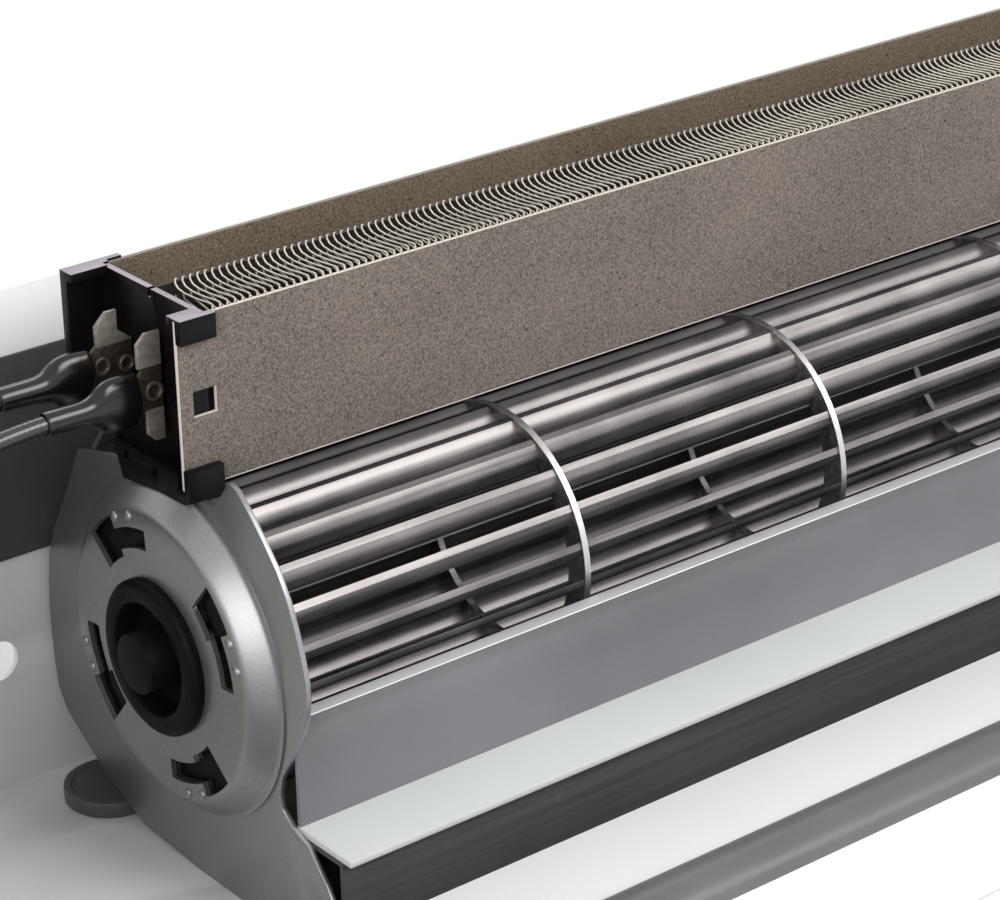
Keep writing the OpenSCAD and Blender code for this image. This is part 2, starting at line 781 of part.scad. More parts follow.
module terminal_block() {
    color("ivory") difference() {
        span([block_x, block_y, floor_z], [block_x + block_l, block_y + block_d, floor_z + block_h]);
        block_places() translate([0, 0, -block_h / 3])
            cylinder(r = block_screw_r + fit_gap, h = block_h / 3 + cut);
        for (i = [1:block_ways - 1])
            span([block_x + way_l * i - 0.06 * way_l, block_y - cut, floor_z + 0.75 * block_h],
                [block_x + way_l * i + 0.06 * way_l, block_y + block_d + cut, floor_z + block_h + cut]);
        for (i = [0:block_ways - 1])
            translate([block_x + way_l * (i + 0.5), block_y - cut, way_z])
                rotate([-90, 0, 0]) cylinder(r = block_screw_r, h = 0.5 * block_d + cut);
    }
}

module block_screws() {
    color("silver") block_places() translate([0, 0, -block_h / 3]) cylinder(r = block_screw_r, h = block_h / 4);
}

// Bimetal cut-out on the right holder
cutout_r = 8;
cutout_h = 4.5;
cutout_tab_l = 4;
cutout_tab_t = 0.8;
cutout_tab_y = 3.6;
module thermal_cutout() {
    middle = (mica_mid_y + mica_rear_y - cutout_r) / 2;
    color("gray") translate([blower_l - web_x, middle, mica_z + mica_h / 2]) {
        rotate([0, 90, 0]) cylinder(r = cutout_r, h = cutout_h);
        for (y = [-cutout_tab_y, cutout_tab_y])
            span([cutout_h, y - cutout_tab_t / 2, -cutout_tab_y],
                [cutout_h + cutout_tab_l, y + cutout_tab_t / 2, cutout_tab_y]);
    }
}

// Shaded-pole motor on the right plate
flange_pcr = 20;
flange_r = 25;
flange_t = 2;
boss_r = 7.5;
bearing_r = 4.5;
bearing_l = 6;
core_gap = 12;
core_x = mount_x + core_gap;
core_end = core_x + core_t;
limb_top = -24;
limb_low = -33;
window_top = -16;
window_w = 17;
coil_t = 6.8;
post_r = 3.6;
post_y = 20;
post_z = 15;
bolt_angles = [90, 200, 340];
bridge_gap = 8;
fan_gap = 5;
bearing_seat = 2;
bridge_x = core_end + bridge_gap;
fan_x = bridge_x + flange_t + fan_gap;

module motor_core() {
    color("dimgray") difference() {
        span([core_x, -core_w, limb_low], [core_end, core_w, core_w]);
        bar_x(core_x - cut, core_end + cut, rotor_r + rotor_gap);
        span([core_x - cut, -window_w, limb_top], [core_end + cut, window_w, window_top]);
        for (s = [-1, 1])
            bar_x(core_x - cut, core_end + cut, screw_r + fit_gap, s * post_y, post_z);
    }
}

bobbin_wall = 0.8;
bobbin_gap = 0.15;
coil_inset = 1.1;
module coil_bobbin() {
    wall = bobbin_wall;
    gap = bobbin_gap;
    outer = coil_t;
    color("ivory") difference() {
        union() {
            span([core_x - gap - wall, -window_w + gap, limb_low - gap - wall],
                [core_end + gap + wall, window_w - gap, limb_top + gap + wall]);
            for (y = [-window_w + gap, window_w - gap - wall])
                span([core_x - outer, y, limb_low - outer], [core_end + outer, y + wall, window_top - gap]);
        }
        span([core_x - gap, -window_w - cut, limb_low - gap],
            [core_end + gap, window_w + cut, limb_top + gap]);
    }
}

module motor_coil() {
    wall = coil_inset;
    side = window_w - wall;
    color("orangered") difference() {
        span([core_x - coil_t + wall, -side, limb_low - coil_t + wall],
            [core_end + coil_t - wall, side, window_top - wall / 2]);
        span([core_x - wall, -side - cut, limb_low - wall], [core_end + wall, side + cut, limb_top + wall]);
    }
}

module bracket_posts(x0, x1) {
    for (s = [-1, 1])
        difference() {
            bar_x(x0, x1, post_r, s * post_y, post_z);
            bar_x(x0 - cut, x1 + cut, screw_r + fit_gap, s * post_y, post_z);
        }
}

module motor_bracket_front() {
    color("silver") difference() {
        union() {
            bar_x(mount_x, mount_x + flange_t, flange_r);
            bar_x(mount_x, mount_x + bearing_seat + bearing_l, boss_r);
            for (s = [-1, 1])
                bar_x(mount_x, core_x, post_r, s * post_y, post_z);
        }
        bar_x(mount_x - cut, mount_x + bearing_seat + bearing_l + cut, bearing_r + fit_gap);
        for (s = [-1, 1])
            bar_x(mount_x + flange_t, core_x + cut, screw_r + fit_gap, s * post_y, post_z);
        for (a = bolt_angles)
            bar_x(mount_x - cut, mount_x + flange_t + cut, screw_r + fit_gap,
                flange_pcr * cos(a), flange_pcr * sin(a));
    }
}

module motor_bracket_rear() {
    color("silver") {
        difference() {
            union() {
                span([bridge_x, -post_y, post_z - post_r], [bridge_x + flange_t, post_y, post_z + post_r]);
                span([bridge_x, -post_r, 0], [bridge_x + flange_t, post_r, post_z]);
                bar_x(bridge_x + flange_t - bearing_l, bridge_x + flange_t, boss_r);
                for (s = [-1, 1])
                    bar_x(core_end, bridge_x + flange_t, post_r, s * post_y, post_z);
            }
            bar_x(bridge_x - bearing_l, bridge_x + flange_t + cut, bearing_r + fit_gap);
            for (s = [-1, 1])
                bar_x(core_end - cut, bridge_x + flange_t + cut, screw_r + fit_gap, s * post_y, post_z);
        }
    }
}

module motor_bearings() {
    color("peru") for (x = [mount_x + bearing_seat, bridge_x + flange_t - bearing_l])
        difference() {
            bar_x(x, x + bearing_l, bearing_r);
            bar_x(x - cut, x + bearing_l + cut, shaft_r + run_gap);
        }
}

module motor_bolts() {
    color("silver") {
        for (s = [-1, 1]) {
            bar_x(mount_x + flange_t, bridge_x + flange_t, screw_r, s * post_y, post_z);
            bar_x(bridge_x + flange_t, bridge_x + flange_t + screw_head_h, screw_head_r, s * post_y, post_z);
        }
        for (a = bolt_angles) {
            y = flange_pcr * cos(a);
            z = flange_pcr * sin(a);
            bar_x(mount_x - plate_t, mount_x + flange_t, screw_r, y, z);
            bar_x(mount_x + flange_t, mount_x + flange_t + screw_head_h, screw_head_r, y, z);
        }
    }
}

// Motor leads before the channel, from the bobbin to the terminal block
motor_lead_r = 1.1;
motor_lead_x = core_x + 0.55 * core_t;
motor_lead_z = limb_low - 0.7 * coil_t;
motor_lead_step = 2.6;
module motor_leads() {
    color("dimgray") for (k = [-0.5, 0.5]) {
        shift = k * motor_lead_step;
        way_x = block_x + way_l * (1 - k);
        high = lead_z + shift;
        tube(route_cut(route_cut([
            [motor_lead_x + 2 * shift, -window_w - fit_gap, motor_lead_z + shift / 2],
            [motor_lead_x + 2 * shift, 0.63 * lead_y, motor_lead_z + shift / 2],
            [core_x, 0.95 * lead_y, high], [blower_l, lead_y, high],
            [blower_l - 5 * plate_in, lead_y, high], [5 * plate_in, lead_y, high], [0, lead_y, high],
            [0.34 * bay_x, 0.95 * lead_y, high], [way_x + 2 * motor_lead_r, 0.53 * lead_y, way_z],
            [way_x, 0, way_z], [way_x, block_y, way_z]
        ])), motor_lead_r, 8);
    }
}

// Impeller: blades that are radial inside and lean over at the rim, between the rings
blade_lean = 25;
blade_phase = 9.2;
blade_r = wheel_r - 0.9 * blade_t;
inner_r = wheel_r - blade_depth;
blade_curve = (blade_r * blade_r - inner_r * inner_r) / (2 * blade_r * cos(blade_lean));
module blade_profile() {
    intersection() {
        difference() {
            circle(r = blade_r);
            circle(r = inner_r + 0.2 * blade_t);
        }
        translate([inner_r, -blade_curve]) difference() {
            circle(r = blade_curve + blade_t / 2);
            circle(r = blade_curve - blade_t / 2);
        }
        translate([inner_r - cut, -blade_curve]) square([blade_depth + 2 * cut, 2 * blade_curve]);
    }
}

module impeller_cage() {
    color("gainsboro") {
        along_x(first_ring + ring_t / 2, segments * segment_l - ring_t)
            for (i = [0:blades - 1]) rotate(blade_phase + 360 * i / blades) blade_profile();
        for (i = [1:segments - 1])
            along_x(first_ring + i * segment_l - ring_t / 2, ring_t) difference() {
                circle(r = wheel_r);
                circle(r = inner_r);
            }
    }
}

hub_r = 6;
hub_l = 8;
module impeller_end_left() {
    color("gainsboro") difference() {
        union() {
            bar_x(first_ring - ring_t / 2, first_ring + ring_t / 2, wheel_r);
            bar_x(first_ring, first_ring + hub_l, hub_r);
        }
        bar_x(first_ring - cut, first_ring + hub_l + cut, shaft_r + fit_gap);
    }
}

module stub_shaft() {
    color("silver") bar_x(face_x - nose_out + 3 * nose_wall, first_ring + hub_l, shaft_r);
}

hub_seat_r = 9;
last_ring = blower_l - first_ring;
module impeller_end_right() {
    color("gainsboro") difference() {
        bar_x(last_ring - ring_t / 2, last_ring + ring_t / 2, wheel_r);
        bar_x(last_ring - cut, last_ring + cut, hub_seat_r + fit_gap);
    }
}

// Rubber hub between the end disc and the motor shaft
module drive_hub() {
    color("black") difference() {
        union() {
            bar_x(last_ring - ring_t / 2, last_ring + ring_t / 2, hub_seat_r);
            bar_x(last_ring + ring_t / 2, last_ring + 2 * ring_t, hub_seat_r + ring_t);
            bar_x(last_ring - hub_l, last_ring - ring_t / 2, hub_seat_r + ring_t);
        }
        bar_x(last_ring - hub_l - cut, last_ring + 2 * ring_t + cut, shaft_r + fit_gap);
    }
}

module motor_shaft() {
    color("silver") bar_x(last_ring - hub_l, fan_x + hub_l, shaft_r);
}

module motor_rotor() {
    color("gray") difference() {
        bar_x(core_x + rotor_gap, core_end - rotor_gap, rotor_r);
        bar_x(core_x - cut, core_end + cut, shaft_r + fit_gap);
    }
}

module cooling_fan() {
    vanes = 6;
    vane_t = 1.2;
    color("gray") difference() {
        union() {
            bar_x(fan_x, fan_x + hub_l, hub_r);
            for (i = [0:vanes - 1])
                rotate([360 * i / vanes, 0, 0]) translate([fan_x + hub_l / 2, 0, 0]) rotate([0, 0, 35])
                    translate([-vane_t / 2, -hub_l / 2, hub_r - vane_t]) cube([vane_t, hub_l, fan_r - hub_r]);
        }
        bar_x(fan_x - cut, fan_x + hub_l + cut, shaft_r + fit_gap);
    }
}

blower_frame() case_shell();
blower_frame() end_cap_left();
blower_frame() end_cap_right();
blower_frame() edge_rail();
blower_frame() base_channel();
blower_frame() shelf_strip();
blower_frame() rear_shield();
blower_frame() blanking_plug();
blower_frame() cable_grommet();
blower_frame() side_plate_left();
blower_frame() side_plate_right();
blower_frame() scroll_shell();
blower_frame() front_panel();
blower_frame() bearing_mount();
blower_frame() bearing_bush();
blower_frame() mica_front();
blower_frame() mica_middle();
blower_frame() mica_rear();
blower_frame() heating_wire();
blower_frame() heater_holder_left();
blower_frame() heater_holder_right();
blower_frame() terminal_rear();
blower_frame() terminal_front();
blower_frame() terminal_rivets();
blower_frame() boot_rear();
blower_frame() boot_front();
blower_frame() lead_rear();
blower_frame() lead_front();
blower_frame() terminal_block();
blower_frame() block_screws();
blower_frame() thermal_cutout();
blower_frame() motor_core();
blower_frame() motor_coil();
blower_frame() coil_bobbin();
blower_frame() motor_bracket_front();
blower_frame() motor_bracket_rear();
blower_frame() motor_bearings();
blower_frame() motor_bolts();
blower_frame() motor_leads();
blower_frame() plate_screws();
blower_frame() cap_screws();
blower_frame() impeller_cage();
blower_frame() impeller_end_left();
blower_frame() impeller_end_right();
blower_frame() stub_shaft();
blower_frame() drive_hub();
blower_frame() motor_shaft();
blower_frame() motor_rotor();
blower_frame() cooling_fan();
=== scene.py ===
# Air curtain with its cover off: the look of every piece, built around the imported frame
import bmesh
import bpy
import json
import math
from mathutils import Matrix, Vector


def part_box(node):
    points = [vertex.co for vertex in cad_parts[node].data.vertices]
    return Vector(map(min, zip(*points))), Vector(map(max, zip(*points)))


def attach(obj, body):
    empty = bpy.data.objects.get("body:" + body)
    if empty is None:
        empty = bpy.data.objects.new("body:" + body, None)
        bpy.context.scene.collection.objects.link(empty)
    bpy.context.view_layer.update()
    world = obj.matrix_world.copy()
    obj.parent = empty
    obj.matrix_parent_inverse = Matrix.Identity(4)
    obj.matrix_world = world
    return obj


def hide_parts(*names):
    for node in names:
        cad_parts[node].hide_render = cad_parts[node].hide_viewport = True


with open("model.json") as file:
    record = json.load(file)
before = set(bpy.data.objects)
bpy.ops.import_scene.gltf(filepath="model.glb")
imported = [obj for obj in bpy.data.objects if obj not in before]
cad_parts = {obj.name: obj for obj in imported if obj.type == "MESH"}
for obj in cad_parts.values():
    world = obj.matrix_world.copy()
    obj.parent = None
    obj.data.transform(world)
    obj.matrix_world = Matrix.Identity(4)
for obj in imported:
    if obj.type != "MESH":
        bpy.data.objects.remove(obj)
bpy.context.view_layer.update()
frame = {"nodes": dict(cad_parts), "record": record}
nodes = frame["nodes"]
mm = 0.001

# The blower's own reference point: its left end, on the impeller's axis. Places are in millimetres from it.
hub = Vector((-0.1958, 0.0228, 0.0432))


def at(x, y, z):
    return hub + Vector((x, y, z)) * mm


def tint(red, green, blue):
    # a colour as the eye sees it, turned into the shader's linear one
    return tuple(((c + 0.055) / 1.055) ** 2.4 if c > 0.04 else c / 12.92 for c in (red, green, blue)) + (1,)


def chooseOnly(*things):
    bpy.ops.object.select_all(action="DESELECT")
    for thing in things:
        thing.select_set(True)
    bpy.context.view_layer.objects.active = things[0]


def applyPlace(thing):
    chooseOnly(thing)
    bpy.ops.object.transform_apply(location=True, rotation=True, scale=True)


# Shader steps; a value that is given to a node is a number, a colour or the socket of another node
def addNode(tree, kind, **settings):
    node = tree.nodes.new(kind)
    for key, value in settings.items():
        if hasattr(node, key):
            setattr(node, key, value)
        else:
            node.inputs[key].default_value = value
    return node


def feed(tree, entry, value):
    if isinstance(value, bpy.types.NodeSocket):
        tree.links.new(value, entry)
    else:
        entry.default_value = value


def addMath(tree, operation, *values):
    node = addNode(tree, "ShaderNodeMath", operation=operation)
    for entry, value in zip(node.inputs, values):
        feed(tree, entry, value)
    return node.outputs[0]


def addNoise(tree, place, scale, detail, **settings):
    # a noise whose place and scale come from outside
    noise = addNode(tree, "ShaderNodeTexNoise", Detail=detail, **settings)
    feed(tree, noise.inputs["Vector"], place)
    feed(tree, noise.inputs["Scale"], scale)
    return noise.outputs["Fac"]


def mixMasks(tree, first, second, share):
    # a share of the first, and the rest from the second
    return addMath(tree, "MULTIPLY_ADD", first, share, addMath(tree, "MULTIPLY", second, 1 - share))


def mixTones(tree, mask, first, second):
    # sockets 0, 6 and 7 are the share and the two colours
    mix = addNode(tree, "ShaderNodeMix", data_type="RGBA")
    for number, value in ((0, mask), (6, first), (7, second)):
        feed(tree, mix.inputs[number], value)
    return mix.outputs[2]


def addRange(tree, value, fromSpan, toSpan=(0.0, 1.0)):
    node = addNode(tree, "ShaderNodeMapRange")
    feed(tree, node.inputs["Value"], value)
    node.inputs["From Min"].default_value, node.inputs["From Max"].default_value = fromSpan
    node.inputs["To Min"].default_value, node.inputs["To Max"].default_value = toSpan
    return node.outputs["Result"]


# Shader groups that several finishes share.
# Each takes a place, a fine scale and a slow scale, and gives a mask and a height.
def newGroup(name):
    group = bpy.data.node_groups.new(name, "ShaderNodeTree")
    group.interface.new_socket(name="Vector", in_out="INPUT", socket_type="NodeSocketVector")
    for side, names in (("INPUT", ("Fine", "Patch")), ("OUTPUT", ("Mask", "Height"))):
        for socketName in names:
            group.interface.new_socket(name=socketName, in_out=side, socket_type="NodeSocketFloat")
    entry = group.nodes.new("NodeGroupInput")
    leave = group.nodes.new("NodeGroupOutput")
    return group, entry.outputs, leave.inputs


def giveOut(group, leave, mask, height):
    group.links.new(mask, leave["Mask"])
    group.links.new(height, leave["Height"])
    return group


def grainGroup():
    # fine even noise with slow patches, for paint, plastic, rubber and plated sheet
    group, entry, leave = newGroup("surfaceGrain")
    fine = addNoise(group, entry["Vector"], entry["Fine"], detail=2.0)
    patch = addNoise(group, entry["Vector"], entry["Patch"], detail=4.0)
    return giveOut(group, leave, mixMasks(group, fine, patch, share=0.35), fine)


def streakGroup():
    # rolling marks that run along the sheet's length, with a faint cloud
    group, entry, leave = newGroup("rollingStreaks")
    stretch = addNode(group, "ShaderNodeMapping", vector_type="POINT", Scale=(0.02, 1.0, 1.0))
    feed(group, stretch.inputs["Vector"], entry["Vector"])
    lines = addNoise(group, stretch.outputs["Vector"], entry["Fine"], detail=3.0)
    cloud = addNoise(group, entry["Vector"], entry["Patch"], detail=4.0)
    return giveOut(group, leave, mixMasks(group, lines, cloud, share=0.6), lines)


def speckleGroup():
    # pressed mica board: fine pale flakes, slow clouds and a few dark-brown specks
    group, entry, leave = newGroup("micaSpeckle")
    speckScale, speckSpan = 0.6, (0.22, 0.26)
    flakes = addNoise(group, entry["Vector"], entry["Fine"], detail=3.0, Roughness=0.75)
    cloud = addNoise(group, entry["Vector"], entry["Patch"], detail=4.0)
    coarse = addMath(group, "MULTIPLY", entry["Fine"], speckScale)
    specks = addRange(group, addNoise(group, entry["Vector"], coarse, detail=1.0), speckSpan)
    mask = addMath(group, "MULTIPLY", mixMasks(group, flakes, cloud, share=0.88), specks)
    return giveOut(group, leave, mask, flakes)


def weaveGroup():
    # braided sleeving and stacked laminations: crossed bands
    group, entry, leave = newGroup("crossedBands")
    bands = []
    for direction in ("X", "DIAGONAL"):
        wave = addNode(group, "ShaderNodeTexWave", Distortion=0.4, bands_direction=direction)
        feed(group, wave.inputs["Vector"], entry["Vector"])
        feed(group, wave.inputs["Scale"], entry["Fine"])
        bands.append(wave.outputs["Fac"])
    cloud = addNoise(group, entry["Vector"], entry["Patch"], detail=3.0)
    crossed = addMath(group, "MAXIMUM", *bands)
    return giveOut(group, leave, addMath(group, "MULTIPLY", crossed, cloud), crossed)


patterns = {
    "grain": grainGroup(), "streak": streakGroup(), "speckle": speckleGroup(), "weave": weaveGroup(),
}


def edgeToneAndPaintedHighlight(tree, colour, place, edge):
    # faces turned past a level take a paler tone above one height, and so does the strip under the foot's; on
    # the mica boards this is a cut-edge tone, on upward faces a painted highlight
    split = tree.nodes.new("ShaderNodeSeparateXYZ")
    feed(tree, split.inputs["Vector"], tree.nodes.new("ShaderNodeNewGeometry").outputs["True Normal"])
    facing = split.outputs[edge["axis"]]
    if edge["axis"] == "Y":
        facing = addMath(tree, "ABSOLUTE", facing)
    height = tree.nodes.new("ShaderNodeSeparateXYZ")
    feed(tree, height.inputs["Vector"], place)
    turned = addMath(tree, edge["rule"], facing, edge["level"])
    high = addMath(tree, "GREATER_THAN", height.outputs["Z"], edge["above"])
    pale = addMath(tree, "MULTIPLY", turned, high)
    if "foot" in edge:
        pale = addMath(tree, "MAXIMUM", pale, addMath(tree, "LESS_THAN", height.outputs["Z"], edge["foot"]))
    return mixTones(tree, pale, colour, tint(*edge["tone"]))


def paintedRimHighlight(tree, colour, place, reach, tone):
    # painted highlight: a paler tone on the thin edges outside a radius about the impeller's axis
    centred = addNode(tree, "ShaderNodeVectorMath", operation="SUBTRACT")
    across = addNode(tree, "ShaderNodeVectorMath", operation="MULTIPLY")
    far = addNode(tree, "ShaderNodeVectorMath", operation="LENGTH")
    feed(tree, centred.inputs[0], place)
    feed(tree, centred.inputs[1], hub)
    feed(tree, across.inputs[0], centred.outputs["Vector"])
    feed(tree, across.inputs[1], (0, 1, 1))
    feed(tree, far.inputs[0], across.outputs["Vector"])
    outer = addMath(tree, "GREATER_THAN", far.outputs["Value"], reach * mm)
    return mixTones(tree, outer, colour, tint(*tone))


def finish(name, pattern, dark, light, rough, metallic=0.0, fine=2500.0, patch=40.0, bump=0.1, depth=0.05,
           edge=None, coat=0.0, specular=0.5, span=(0.3, 0.7), rim=None):
    # two tones and two roughnesses driven by a pattern, with a fine relief
    material = bpy.data.materials.new(name)
    material.use_nodes = True
    tree = material.node_tree
    shader = tree.nodes["Principled BSDF"]
    place = tree.nodes.new("ShaderNodeTexCoord").outputs["Object"]
    group = tree.nodes.new("ShaderNodeGroup")
    group.node_tree = patterns[pattern]
    for key, value in (("Vector", place), ("Fine", fine), ("Patch", patch)):
        feed(tree, group.inputs[key], value)
    mask = group.outputs["Mask"]
    colour = mixTones(tree, addRange(tree, mask, span), tint(*dark), tint(*light))
    # cut-edge tones on the mica boards, and painted highlights on upward faces
    if edge:
        colour = edgeToneAndPaintedHighlight(tree, colour, place, edge)
    # painted highlight along the blades' outer edges
    if rim:
        colour = paintedRimHighlight(tree, colour, place, *rim)
    relief = addNode(tree, "ShaderNodeBump", Strength=bump, Distance=depth * mm)
    feed(tree, relief.inputs["Height"], group.outputs["Height"])
    worth = {
        "Base Color": colour, "Roughness": addRange(tree, mask, span, rough), "Metallic": metallic,
        "Coat Weight": coat, "Specular IOR Level": specular, "Normal": relief.outputs["Normal"],
    }
    for key, value in worth.items():
        feed(tree, shader.inputs[key], value)
    return material


# Edge tones, and painted highlights on upward faces: heights are in metres, and the foot is the bare strip
# along the front board's lower edge
boardEdge = {
    "axis": "Y", "rule": "LESS_THAN", "level": 0.85, "above": 0.0, "tone": (0.82, 0.79, 0.75),
    "foot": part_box("mica_front")[0].z + 0.25 * mm,
}
innerEdge = {"axis": "Y", "rule": "LESS_THAN", "level": 0.6, "above": 0.0, "tone": (0.46, 0.43, 0.38)}
# painted highlight: upward faces of the black plastic high on the heater take a pale tone
paintedHighlightTop = {"axis": "Z", "rule": "GREATER_THAN", "level": 0.8, "above": 0.095, "tone": (0.60, 0.57, 0.60)}
# painted highlight: upward faces of the front panel's lip take a pale tone
paintedLipHighlight = {"axis": "Z", "rule": "GREATER_THAN", "level": 0.3, "above": 0.03, "tone": (0.80, 0.80, 0.81)}

# Each look: its pattern, dark and light tone, least and most roughness, and what else sets it apart
looks = {
    "whitePaint": ("grain", (0.895, 0.895, 0.89), (0.915, 0.915, 0.91), (0.34, 0.44), {"bump": 0.05}),
    "stripPaint": ("grain", (0.77, 0.78, 0.78), (0.81, 0.82, 0.82), (0.36, 0.46), {"bump": 0.06}),
    "greyRail": ("grain", (0.36, 0.36, 0.37), (0.41, 0.41, 0.42), (0.30, 0.40),
                 {"bump": 0.04, "specular": 0.3}),
    "darkSheet": ("grain", (0.24, 0.24, 0.245), (0.29, 0.29, 0.295), (0.45, 0.6),
                  {"bump": 0.08, "specular": 0.3}),
    # base channel zinc, darker and duller than the other zinc sheet: its own tone together with painted shade
    # for the recess under the strip
    "channelZinc": ("streak", (0.27, 0.27, 0.275), (0.34, 0.34, 0.345), (0.45, 0.6),
                    {"metallic": 0.3, "fine": 900.0, "bump": 0.05, "specular": 0.3}),
    "darkPlastic": ("grain", (0.30, 0.30, 0.30), (0.35, 0.35, 0.35), (0.35, 0.45), {}),
    "galvanised": ("grain", (0.50, 0.505, 0.51), (0.60, 0.605, 0.61), (0.30, 0.38),
                   {"metallic": 0.8, "fine": 1800.0, "patch": 30.0, "bump": 0.08}),
    "panelZinc": ("grain", (0.47, 0.47, 0.485), (0.54, 0.54, 0.555), (0.42, 0.55),
                  {"metallic": 0.45, "fine": 2400.0, "patch": 35.0, "bump": 0.08, "edge": paintedLipHighlight}),
    "blackRubber": ("grain", (0.03, 0.03, 0.034), (0.06, 0.06, 0.065), (0.38, 0.5), {"specular": 0.07}),
    "bronze": ("grain", (0.52, 0.38, 0.24), (0.66, 0.50, 0.33), (0.35, 0.5), {"metallic": 1.0}),
    "mica": ("speckle", (0.14, 0.12, 0.105), (0.50, 0.46, 0.43), (0.5, 0.68),
             {"fine": 2300.0, "bump": 0.15, "edge": boardEdge, "specular": 0.35, "span": (0.30, 0.66)}),
    "micaInner": ("speckle", (0.16, 0.135, 0.105), (0.52, 0.465, 0.40), (0.5, 0.68),
                  {"fine": 2300.0, "bump": 0.15, "edge": innerEdge, "specular": 0.35,
                   "span": (0.30, 0.66)}),
    # middle board: a darker copy of the mica, painted shade for its place between the front and rear boards
    "micaDeep": ("speckle", (0.08, 0.07, 0.06), (0.20, 0.18, 0.155), (0.5, 0.68),
                 {"fine": 3400.0, "bump": 0.15, "specular": 0.2, "span": (0.30, 0.66)}),
    "micaEar": ("speckle", (0.06, 0.05, 0.04), (0.22, 0.185, 0.15), (0.3, 0.5),
                {"fine": 1400.0, "bump": 0.3, "depth": 0.06, "specular": 0.6, "span": (0.30, 0.66)}),
    "heaterAlloy": ("grain", (0.60, 0.57, 0.53), (0.76, 0.73, 0.69), (0.3, 0.45),
                    {"metallic": 0.6, "bump": 0.05}),
    "blackPlastic": ("grain", (0.035, 0.03, 0.038), (0.065, 0.06, 0.07), (0.28, 0.38),
                     {"edge": paintedHighlightTop, "specular": 0.12}),
    "darkNickel": ("grain", (0.34, 0.31, 0.28), (0.48, 0.45, 0.41), (0.28, 0.4), {"metallic": 0.7}),
    "nickel": ("grain", (0.38, 0.36, 0.33), (0.68, 0.65, 0.61), (0.3, 0.45),
               {"metallic": 0.5, "fine": 900.0, "bump": 0.04, "depth": 0.03}),
    "sleeve": ("weave", (0.10, 0.09, 0.095), (0.18, 0.17, 0.175), (0.26, 0.38),
               {"fine": 600.0, "bump": 0.15, "specular": 0.7}),
    "bootRubber": ("grain", (0.035, 0.033, 0.035), (0.065, 0.06, 0.065), (0.18, 0.26), {"bump": 0.05}),
    "blockPlastic": ("grain", (0.76, 0.74, 0.66), (0.82, 0.80, 0.73), (0.4, 0.5), {}),
    "zincScrews": ("grain", (0.60, 0.61, 0.63), (0.74, 0.75, 0.76), (0.25, 0.4), {"metallic": 1.0}),
    "thermostat": ("streak", (0.58, 0.58, 0.58), (0.72, 0.72, 0.71), (0.25, 0.4),
                   {"metallic": 1.0, "bump": 0.05}),
    "coreSteel": ("weave", (0.30, 0.31, 0.33), (0.45, 0.46, 0.48), (0.4, 0.55),
                  {"metallic": 0.8, "fine": 500.0, "bump": 0.3, "depth": 0.1}),
    "winding": ("grain", (0.50, 0.24, 0.12), (0.68, 0.38, 0.21), (0.22, 0.34),
                {"metallic": 0.5, "fine": 700.0, "coat": 0.4}),
    "zincBracket": ("grain", (0.54, 0.54, 0.54), (0.66, 0.66, 0.66), (0.4, 0.55),
                    {"metallic": 0.9, "bump": 0.2}),
    # blade metal, with a painted highlight on the blades' outer edges past the rim radius
    "brightBlades": ("streak", (0.38, 0.37, 0.365), (0.66, 0.64, 0.635), (0.36, 0.54),
                     {"metallic": 1.0, "fine": 900.0, "patch": 80.0, "bump": 0.05,
                      "rim": (23.8, (0.80, 0.79, 0.78))}),
    "groundSteel": ("streak", (0.58, 0.58, 0.59), (0.72, 0.72, 0.73), (0.15, 0.25),
                    {"metallic": 1.0, "bump": 0.05}),
    "whiteLead": ("grain", (0.80, 0.77, 0.76), (0.88, 0.85, 0.84), (0.4, 0.5), {"bump": 0.05}),
}
finishes = {
    name: finish(name, pattern, dark, light, rough, **rest)
    for name, (pattern, dark, light, rough, rest) in looks.items()
}
print("finishes made")

bodyOf = {node: body for body, names in frame["record"]["behaviour"]["bodies"].items() for node in names}


def giveFinish(thing, name):
    thing.data.materials.clear()
    thing.data.materials.append(finishes[name])


def settle(thing, node, name, stands=True):
    # the piece moves with its node's body, and stands for the node unless it is only a part of it
    giveFinish(thing, name)
    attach(thing, bodyOf[node])
    if stands:
        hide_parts(node)


# Modelling steps that the pieces share.
# A face looks along an axis when its normal's part on that axis is past squareOn, and round pieces are shaded
# smooth up to roundShade degrees.
squareOn = 0.9
roundShade = 60


def useModifier(thing, kind, **settings):
    chooseOnly(thing)
    modifier = thing.modifiers.new(kind.lower(), kind)
    for key, value in settings.items():
        setattr(modifier, key, value)
    bpy.ops.object.modifier_apply(modifier=modifier.name)


def softShade(thing, angle=32):
    chooseOnly(thing)
    bpy.ops.object.shade_smooth_by_angle(angle=math.radians(angle))


def breakEdges(thing, width, segments=2, angle=35):
    useModifier(thing, "BEVEL", width=width * mm, segments=segments, limit_method="ANGLE",
                angle_limit=math.radians(angle), use_clamp_overlap=True)
    softShade(thing)


def named(name):
    thing = bpy.context.object
    thing.name = name
    thing.data.name = name
    applyPlace(thing)
    return thing


def addBox(name, low, high):
    bpy.ops.object.select_all(action="DESELECT")
    bpy.ops.mesh.primitive_cube_add(size=1, location=at(*((a + b) / 2 for a, b in zip(low, high))))
    bpy.context.object.scale = [(b - a) * mm for a, b in zip(low, high)]
    return named(name)


def addRod(name, place, radius, depth, sides, along="X"):
    turn = {"X": (0, math.pi / 2, 0), "Y": (math.pi / 2, 0, 0), "Z": (0, 0, 0)}[along]
    bpy.ops.object.select_all(action="DESELECT")
    bpy.ops.mesh.primitive_cylinder_add(vertices=sides, radius=radius * mm, depth=depth * mm,
                                        location=at(*place), rotation=turn)
    return named(name)


